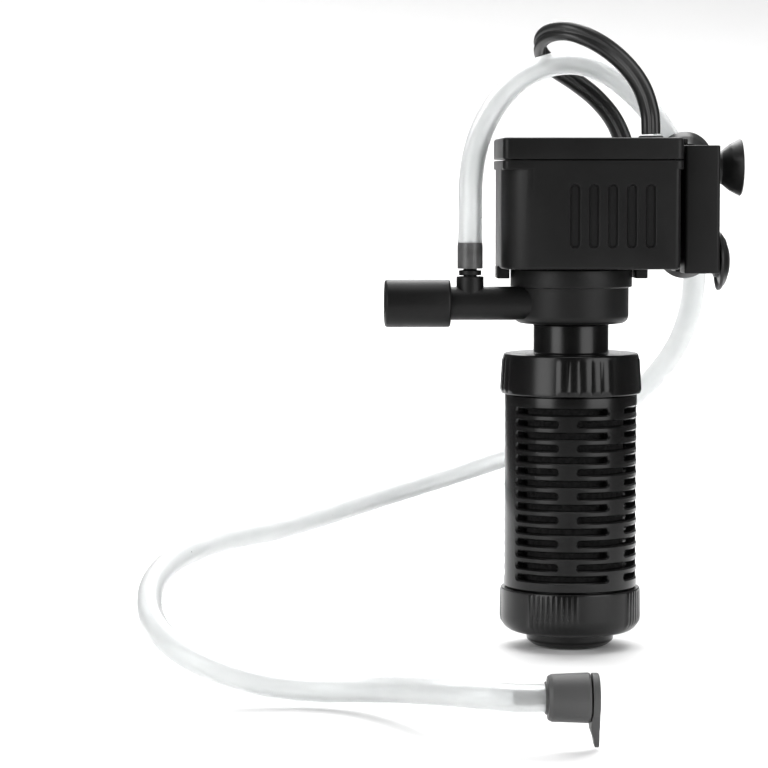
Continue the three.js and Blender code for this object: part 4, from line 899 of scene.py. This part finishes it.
def suction_cup(node, axis, everted):
    """A cup drawn up Z from the wall's outer face, with its knob behind the wall."""
    knob, hub = -BRACKET_WALL - GAP, GAP + CUP_HUB_LENGTH
    rim = hub + CUP_DEPTH
    corners = [
        (0, knob - 1.6, 0), (CUP_KNOB_RADIUS, knob - 1.6, 0.6), (CUP_KNOB_RADIUS, knob, 0.2),
        (CUP_STEM_RADIUS, knob, 0.2), (CUP_STEM_RADIUS, GAP, 0.1), (CUP_HUB_RADIUS, GAP, 0.3),
    ]
    if everted:
        corners += [
            (CUP_HUB_RADIUS, hub - 0.9, 0.5), (CUP_RADIUS * 0.8, hub - 0.5, 1),
            (CUP_RADIUS + 0.3, hub - 1.2, 0.15), (CUP_RADIUS + 0.1, hub - 0.3, 0.3),
            (CUP_RADIUS * 0.78, hub + 1, 1.5), (CUP_RADIUS * 0.4, hub + 1.95, 3), (0, hub + 2.2, 0),
        ]
    else:
        corners += [
            (CUP_HUB_RADIUS, hub - 0.3, 0.6), (CUP_RADIUS * 0.82, hub + CUP_DEPTH * 0.42, 3),
            (CUP_RADIUS, rim - 0.3, 0.1), (CUP_RADIUS - 0.2, rim, 0.1), (CUP_RADIUS - 0.6, rim, 0.1),
            (CUP_RADIUS * 0.7, hub + CUP_DEPTH * 0.52, 3), (CUP_HUB_RADIUS * 0.6, hub + 0.9, 1.5),
            (0, hub + 0.6, 0),
        ]
    cup = lathe("cup", corners, 72, 5)
    turn = turned(90, "Y") if axis == 0 else turned(-90, "X")
    moved(cup, shift(*cup_foot(node, axis)) @ turn)
    place(cup, f"{node}_moulding", "bracket", "cup_rubber", [node], smooth=50)


def suction_cups():
    for level in ("lower", "upper"):
        suction_cup(f"suction_cup_right_{level}", 0, level == "lower")
        suction_cup(f"suction_cup_rear_{level}", 1, False)


# ---------------------------------------------------------------- air line
def tube_frames(points):
    """The way along a line at each point, and two ways across it that turn as little as they can."""
    way = directions(points)
    across = [np.cross(way[0], (0.0, 1.0, 0.0))]
    for t in way[1:]:
        side = across[-1] - (across[-1] @ t) * t
        across.append(side / np.linalg.norm(side))
    across = np.array(across) / np.linalg.norm(across[0])
    return way, across, np.cross(way, across)


def air_line():
    per_piece = 8
    points = spline(AIR_TUBE_ROUTE, per_piece)
    _, across, other = tube_frames(points)
    turn = np.arange(32) * 2 * math.pi / 32
    barb_top = nozzle_high[2]
    near_barb = np.arange(len(points)) < 3 * per_piece

    def rings(radius):
        """The tube's outline at each point, a little wider where the barb stretches it."""
        stretch = TUBE_STRETCH * np.clip((barb_top + 1 - points[:, 2]) / 2, 0, 1) * near_barb
        return [
            p + (radius + wider) * (np.outer(np.cos(turn), a) + np.outer(np.sin(turn), b))
            for p, a, b, wider in zip(points, across, other, stretch)
        ]

    tube = skin("tube", rings(TUBE_RADIUS) + rings(TUBE_BORE_RADIUS)[::-1], loop=True)
    place(tube, "air_line", "pump_head", "air_tube", ["air_tube"], smooth=60)
    tube.data.materials.append(LOOKS["stretched_tube"])
    for face in tube.data.polygons:
        x, _, z = face.center
        face.material_index = int((barb_top - TUBE_GRIP) * MM < z < barb_top * MM and x < 0)


def at_valve(obj):
    """Turns a piece drawn up Z from the valve's shoulder so that it points along +X."""
    middle = (valve_low + valve_high) / 2
    return moved(obj, shift(valve_high[0], middle[1], middle[2]) @ turned(90, "Y"))


def air_valve():
    radius = (valve_high[1] - valve_low[1]) / 2
    foot = -VALVE_LENGTH
    tip = foot - VALVE_STEM_LENGTH
    body = lathe("valve", [
        (0, tip, 0), (VALVE_STEM_RADIUS, tip, 0.1), (VALVE_BARB_RADIUS, tip + 1.5, 0.05),
        (VALVE_STEM_RADIUS, tip + 1.7, 0), (VALVE_BARB_RADIUS, tip + 4, 0.05),
        (VALVE_STEM_RADIUS, tip + 4.2, 0), (VALVE_STEM_RADIUS, foot - 0.6, 0), (3.7, foot - 0.6, 0.3),
        (3.7, foot, 0.1), (radius - 0.75, foot, 0.3), (radius - 0.3, foot + 0.9, 0.6),
        (radius, -0.4, 0.2), (radius - 0.2, 0, 0.1), (2.2, 0, 0.1), (2.2, -4, 0), (0, -4, 0),
    ], 64)
    place(at_valve(body), "air_valve_shell", "pump_head", "valve", ["air_valve_body"])
    face = DIAL_CLEARANCE
    top = face + DIAL_THICKNESS
    dial = lathe("dial", [
        (0, -3.6, 0), (1.8, -3.6, 0.3), (1.8, face, 0), (radius - 0.1, face, 0.15),
        (radius - 0.1, top, 0.4), (0, top, 0),
    ], 64)
    reach = (valve_low[2] + valve_high[2]) / 2 - dial_low[2]
    rings = []
    for along, half, back in (
        (1.5, 4.6, 0.0), (radius + 0.4, 3.4, -0.5), (radius + 1.6, 2.5, -0.4),
        (reach - 2, 2.2, 0.2), (reach - 0.6, 1.9, 0.4), (reach, 1.0, 0.6),
    ):
        outline = block_outline(-half, half, face + 0.1 + back, top, 0.3)
        rings.append([(along, side, up) for side, up in outline(0)])
    add(dial, skin("tongue", rings))
    place(at_valve(dial), "air_valve_knob", "valve_dial", "valve", ["air_valve_dial"])


# ---------------------------------------------------------------- mains lead
def in_hank(point):
    """A point in the hank's own frame, which is turned about Z, as a point of the model."""
    x, y, z = point
    return np.array((
        x * math.cos(HANK_TURN) - y * math.sin(HANK_TURN),
        x * math.sin(HANK_TURN) + y * math.cos(HANK_TURN),
        z,
    ))


def hank_route():
    """The turns of the hank, each a cord's width above the last, climbing in the near fold."""
    half = HANK_FOLD / 2
    near = HANK_NEAR_Y + half + CORD_THICKNESS / 2
    far = near + HANK_RUN
    fold = np.radians(np.arange(20, 180, 20))
    route = [(half, near - 6, HANK_BASE + CORD_WIDTH / 2)]
    for turn in range(HANK_TURNS):
        height = HANK_BASE + CORD_WIDTH * (turn + 0.5)
        route += [(half, y, height) for y in np.linspace(near, far, 5)]
        route += [(half * math.cos(a), far + half * math.sin(a), height) for a in fold]
        route += [(-half, y, height) for y in np.linspace(far, near, 5)]
        for degrees in range(20, 180, 20):
            a = math.radians(degrees)
            share = min(1, max(0, (degrees - 10) / 130))
            climb = CORD_WIDTH * share * share * (3 - 2 * share)
            route.append((-half * math.cos(a), near - half * math.sin(a), height + climb))
    route.append((half, near, height + CORD_WIDTH))
    return [in_hank(p) for p in route + TAIL_ROUTE]


def cord_section():
    """The outline of a flat two-core cord: (across its width, across its thickness)."""
    radius = CORD_THICKNESS / 2
    core = (CORD_WIDTH - CORD_THICKNESS) / 2
    right, left = np.radians(np.arange(-90, 90, 15)), np.radians(np.arange(75, -91, -15))
    outline = [(core + radius * math.cos(a), radius * math.sin(a)) for a in right]
    outline += [(x, radius) for x in np.linspace(core, -core, 9)]
    outline += [(-core - radius * math.cos(a), radius * math.sin(a)) for a in left]
    outline += [(x, -radius) for x in np.linspace(-core, core, 9)[1:-1]]
    points = []
    for x, y in outline:
        pinch = CORD_GROOVE * math.exp(-((x / 0.55) ** 2))
        points.append((x, y - math.copysign(pinch, y) if abs(x) < core else y))
    return np.array(points)


def mains_lead():
    per_piece = 6
    hank = hank_route()
    points = spline(MAINS_CORD_ROUTE + hank, per_piece)
    lead_end = (len(MAINS_CORD_ROUTE) - 1) * per_piece
    keys = np.array([k * per_piece for k, _ in CORD_WIDE_WAY])
    ways = np.array([way for _, way in CORD_WIDE_WAY], float)
    at = np.minimum(np.arange(len(points)), lead_end)
    wide = np.stack([np.interp(at, keys, ways[:, k]) for k in range(3)], 1)
    way = directions(points)
    wide -= (wide * way).sum(1, keepdims=True) * way
    wide /= np.linalg.norm(wide, axis=1, keepdims=True)
    thin = np.cross(way, wide)
    section = cord_section()
    rings = [
        p + np.outer(section[:, 0], w) + np.outer(section[:, 1], t)
        for p, w, t in zip(points, wide, thin)
    ]
    lead = skin("lead", rings)
    place(lead, "mains_lead", "pump_head", "cord", ["mains_cord", "mains_hank", "mains_cord_tail"], smooth=50)


def hank_matrix():
    return Matrix.Rotation(HANK_TURN, 4, "Z")


def lead_tie():
    """A strap round the hank, open underneath where the runs lie on the floor."""
    half = HANK_FOLD / 2 + CORD_THICKNESS / 2 + GAP
    far = HANK_NEAR_Y + HANK_RUN + HANK_FOLD + CORD_THICKNESS - TIE_FROM_END
    near = far - TIE_WIDTH
    side, top = half + TIE_THICKNESS, HANK_TOP + TIE_THICKNESS
    outer = [(-side, 0, 0), (-side, top, 1.6), (side, top, 1.6), (side, 0, 0)]
    inner = [(half, 0, 0), (half, HANK_TOP, 1), (-half, HANK_TOP, 1), (-half, 0, 0)]
    outline = [*rounded(outer), *rounded(inner)]
    tie = skin("tie", [[(x, y, z) for x, z in outline] for y in (near, near + 0.4, far - 0.4, far)])
    place(moved(tie, hank_matrix()), "lead_tie", "pump_head", "cord", ["hank_tie"], look=LOOKS["tie"])


def plug_outline(inset):
    """The closed outline of the plug, from half widths between its collar and its face."""
    end = PLUG_FACE_Y - inset
    start = PLUG_BODY_Y - 1 + inset
    shape = (
        (0, PLUG_NECK_WIDTH / 2), (3, 8.6), (8, 11.6), (14, PLUG_WAIST_WIDTH / 2), (18, 13.6), (21, 16.6),
        (22.5, PLUG_WIDTH / 2), (27, PLUG_WIDTH / 2),
    )
    sides = [(half - inset, min(max(start + along, start), end)) for along, half in shape]
    return [*sides, *[(-x, y) for x, y in reversed(sides)]]


def plug_moulding():
    """The plug's body with its strain relief and the grip ribs on its two wide faces."""
    low, high, middle = HANK_TOP, HANK_TOP + PLUG_THICKNESS, HANK_TOP + PLUG_THICKNESS / 2
    body = slab("plug", plug_outline, low, high, 2.4, 2.4, 5)
    neck = lathe("neck", [
        (0, 0, 0), (3.4, 0, 0.5), (3.9, 3, 0), (6.5, 3.6, 0.8), (6.5, 6.6, 0.8), (4.4, 7.4, 0.6),
        (5.4, 14, 0), (0, 14, 0),
    ], SMALL_ROUND)
    add(body, moved(neck, shift(0, PLUG_START_Y, middle) @ turned(-90, "X")))
    for k in range(PLUG_RIBS):
        y = PLUG_BODY_Y + 5 + PLUG_RIB_PITCH * k
        y0, y1 = y - PLUG_RIB_WIDTH / 2, y + PLUG_RIB_WIDTH / 2
        half = 8.6 + 0.35 * k
        for face, sink in ((low, -0.1), (high, 0.0)):
            add(body, block("rib", (-half, y0, face - 0.5 + sink), (half, y1, face + 0.35 + sink), 0.25, 0.3))
    place(moved(body, hank_matrix()), "plug_moulding", "pump_head", "cord", ["plug_body"], smooth=35)


def plug_pins():
    """The two pins, each with a moulded sleeve over its inner half."""
    middle = HANK_TOP + PLUG_THICKNESS / 2
    start = PLUG_FACE_Y + GAP
    bare_radius, end = PIN_RADIUS - 0.12, PIN_LENGTH - GAP
    for side, name in ((-1, "left"), (1, "right")):
        pin = lathe("pin", [
            (0, 0, 0), (PIN_RADIUS, 0, 0.1), (PIN_RADIUS, PIN_SLEEVE_LENGTH, 0.15),
            (bare_radius, PIN_SLEEVE_LENGTH, 0), (bare_radius, end, 1), (0, end, 0),
        ], SMALL_ROUND)
        moved(pin, hank_matrix() @ shift(side * PIN_SPACING / 2, start, middle) @ turned(-90, "X"))
        sleeve_end = np.array(hank_matrix() @ Vector((0, start + PIN_SLEEVE_LENGTH - 0.05, 0)))
        axis = np.array(hank_matrix() @ Vector((0, 1, 0)))
        place(pin, f"plug_pin_{name}_sleeved", "pump_head", "nickel", [f"plug_pin_{name}"])
        pin.data.materials.append(LOOKS["cord"])
        limit = sleeve_end @ axis * MM
        for face in pin.data.polygons:
            face.material_index = int(np.array(face.center) @ axis < limit)


# ---------------------------------------------------------------- carried-over CAD nodes
INNER_LOOKS = {
    "impeller": "cartridge", "rotor_magnet": "ferrite", "impeller_shaft": "ceramic",
    "shaft_bush_upper": "rubber", "shaft_bush_lower": "rubber",
    "chamber_seal": "rubber", "neck_seal": "rubber",
    "stator_core": "lamination", "coil_bobbin_front": "bobbin", "coil_bobbin_rear": "bobbin",
    "coil_winding_front": "copper", "coil_winding_rear": "copper", "potting_resin": "resin",
}


def inner_looks():
    for node, look in INNER_LOOKS.items():
        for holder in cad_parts[node].material_slots:
            holder.material = LOOKS[look]


# ---------------------------------------------------------------- studio
def flag(name, x):
    """A black card beside the object that only reflections see, which keeps the black pieces' edges dark."""
    mesh = bpy.data.meshes.new(name)
    mesh.from_pydata([(x, -0.15, 0), (x, 1.2, 0), (x, 1.2, 0.9), (x, -0.15, 0.9)], [], [(0, 1, 2, 3)])
    mesh.materials.append(LOOKS["tie"])
    card = bpy.data.objects.new(name, mesh)
    bpy.context.scene.collection.objects.link(card)
    card.visible_camera = False
    card.visible_diffuse = False
    card.visible_transmission = False
    card.visible_shadow = False


def softbox(name, azimuth, distance, height, width, tall, power, aim_height=0.09):
    """A soft rectangular light that faces the object, azimuth degrees to the right of the camera."""
    data = bpy.data.lights.new(name, "AREA")
    data.shape = "RECTANGLE"
    data.size, data.size_y = width, tall
    data.energy = power
    lamp = bpy.data.objects.new(name, data)
    angle = CAMERA_AZIMUTH + math.radians(azimuth)
    lamp.location = (distance * math.sin(angle), -distance * math.cos(angle), height)
    aim = Vector((0, 0, aim_height)) - lamp.location
    lamp.rotation_euler = aim.to_track_quat("-Z", "Y").to_euler()
    bpy.context.scene.collection.objects.link(lamp)


def paper_floor():
    """A sheet of paper, in metres, that lies under the object and curves up into a wall behind it."""
    front, bend, radius, level, top, half_width = -0.5, 0.9, 0.6, -0.0004, 2.4, 2.5
    profile = [(front, level), (bend, level)]
    for a in np.radians(np.arange(10, 91, 10)):
        profile.append((bend + radius * math.sin(a), level + radius - radius * math.cos(a)))
    profile.append((bend + radius, top))
    points = [(x, y, z) for y, z in profile for x in (-half_width, half_width)]
    faces = [(2 * i, 2 * i + 1, 2 * i + 3, 2 * i + 2) for i in range(len(profile) - 1)]
    mesh = bpy.data.meshes.new("floor")
    mesh.from_pydata(points, [], faces)
    floor = bpy.data.objects.new("floor", mesh)
    bpy.context.scene.collection.objects.link(floor)
    paper = surface("pale_paper", grey(0.8), grey(0.84), 0.7, 0.05, patch=3, grain=300, depth=0.02)
    mesh.materials.append(paper)
    mesh.shade_smooth()


def studio():
    world = bpy.data.worlds.new("studio")
    world.use_nodes = True
    background = world.node_tree.nodes["Background"]
    background.inputs["Color"].default_value = (1, 1, 1, 1)
    background.inputs["Strength"].default_value = 0.06
    bpy.context.scene.world = world
    softbox("left_softbox", -50, 1.3, 0.3, 0.95, 1.3, 17)
    softbox("right_softbox", 50, 1.3, 0.3, 0.95, 1.3, 14)
    softbox("top_softbox", 180, 0.3, 1.5, 1.6, 1.6, 22)
    softbox("wall_light", 180, 0.9, 0.9, 2.4, 0.8, 36, 0.2)
    flag("left_flag", -0.32)
    flag("right_flag", 0.3)
    paper_floor()
    bpy.context.scene.view_settings.view_transform = "Standard"


make_camera()
air_valve()
air_line()
lead_tie()
plug_moulding()
plug_pins()
mains_lead()
cartridge_cage()
sponge_core()
cartridge_collar()
cartridge_base_cap()
impeller_housing()
outlet_nozzle()
nozzle_barb()
pump_housing()
pump_lid()
lead_gland()
bracket_block()
suction_cups()
inner_looks()
studio()
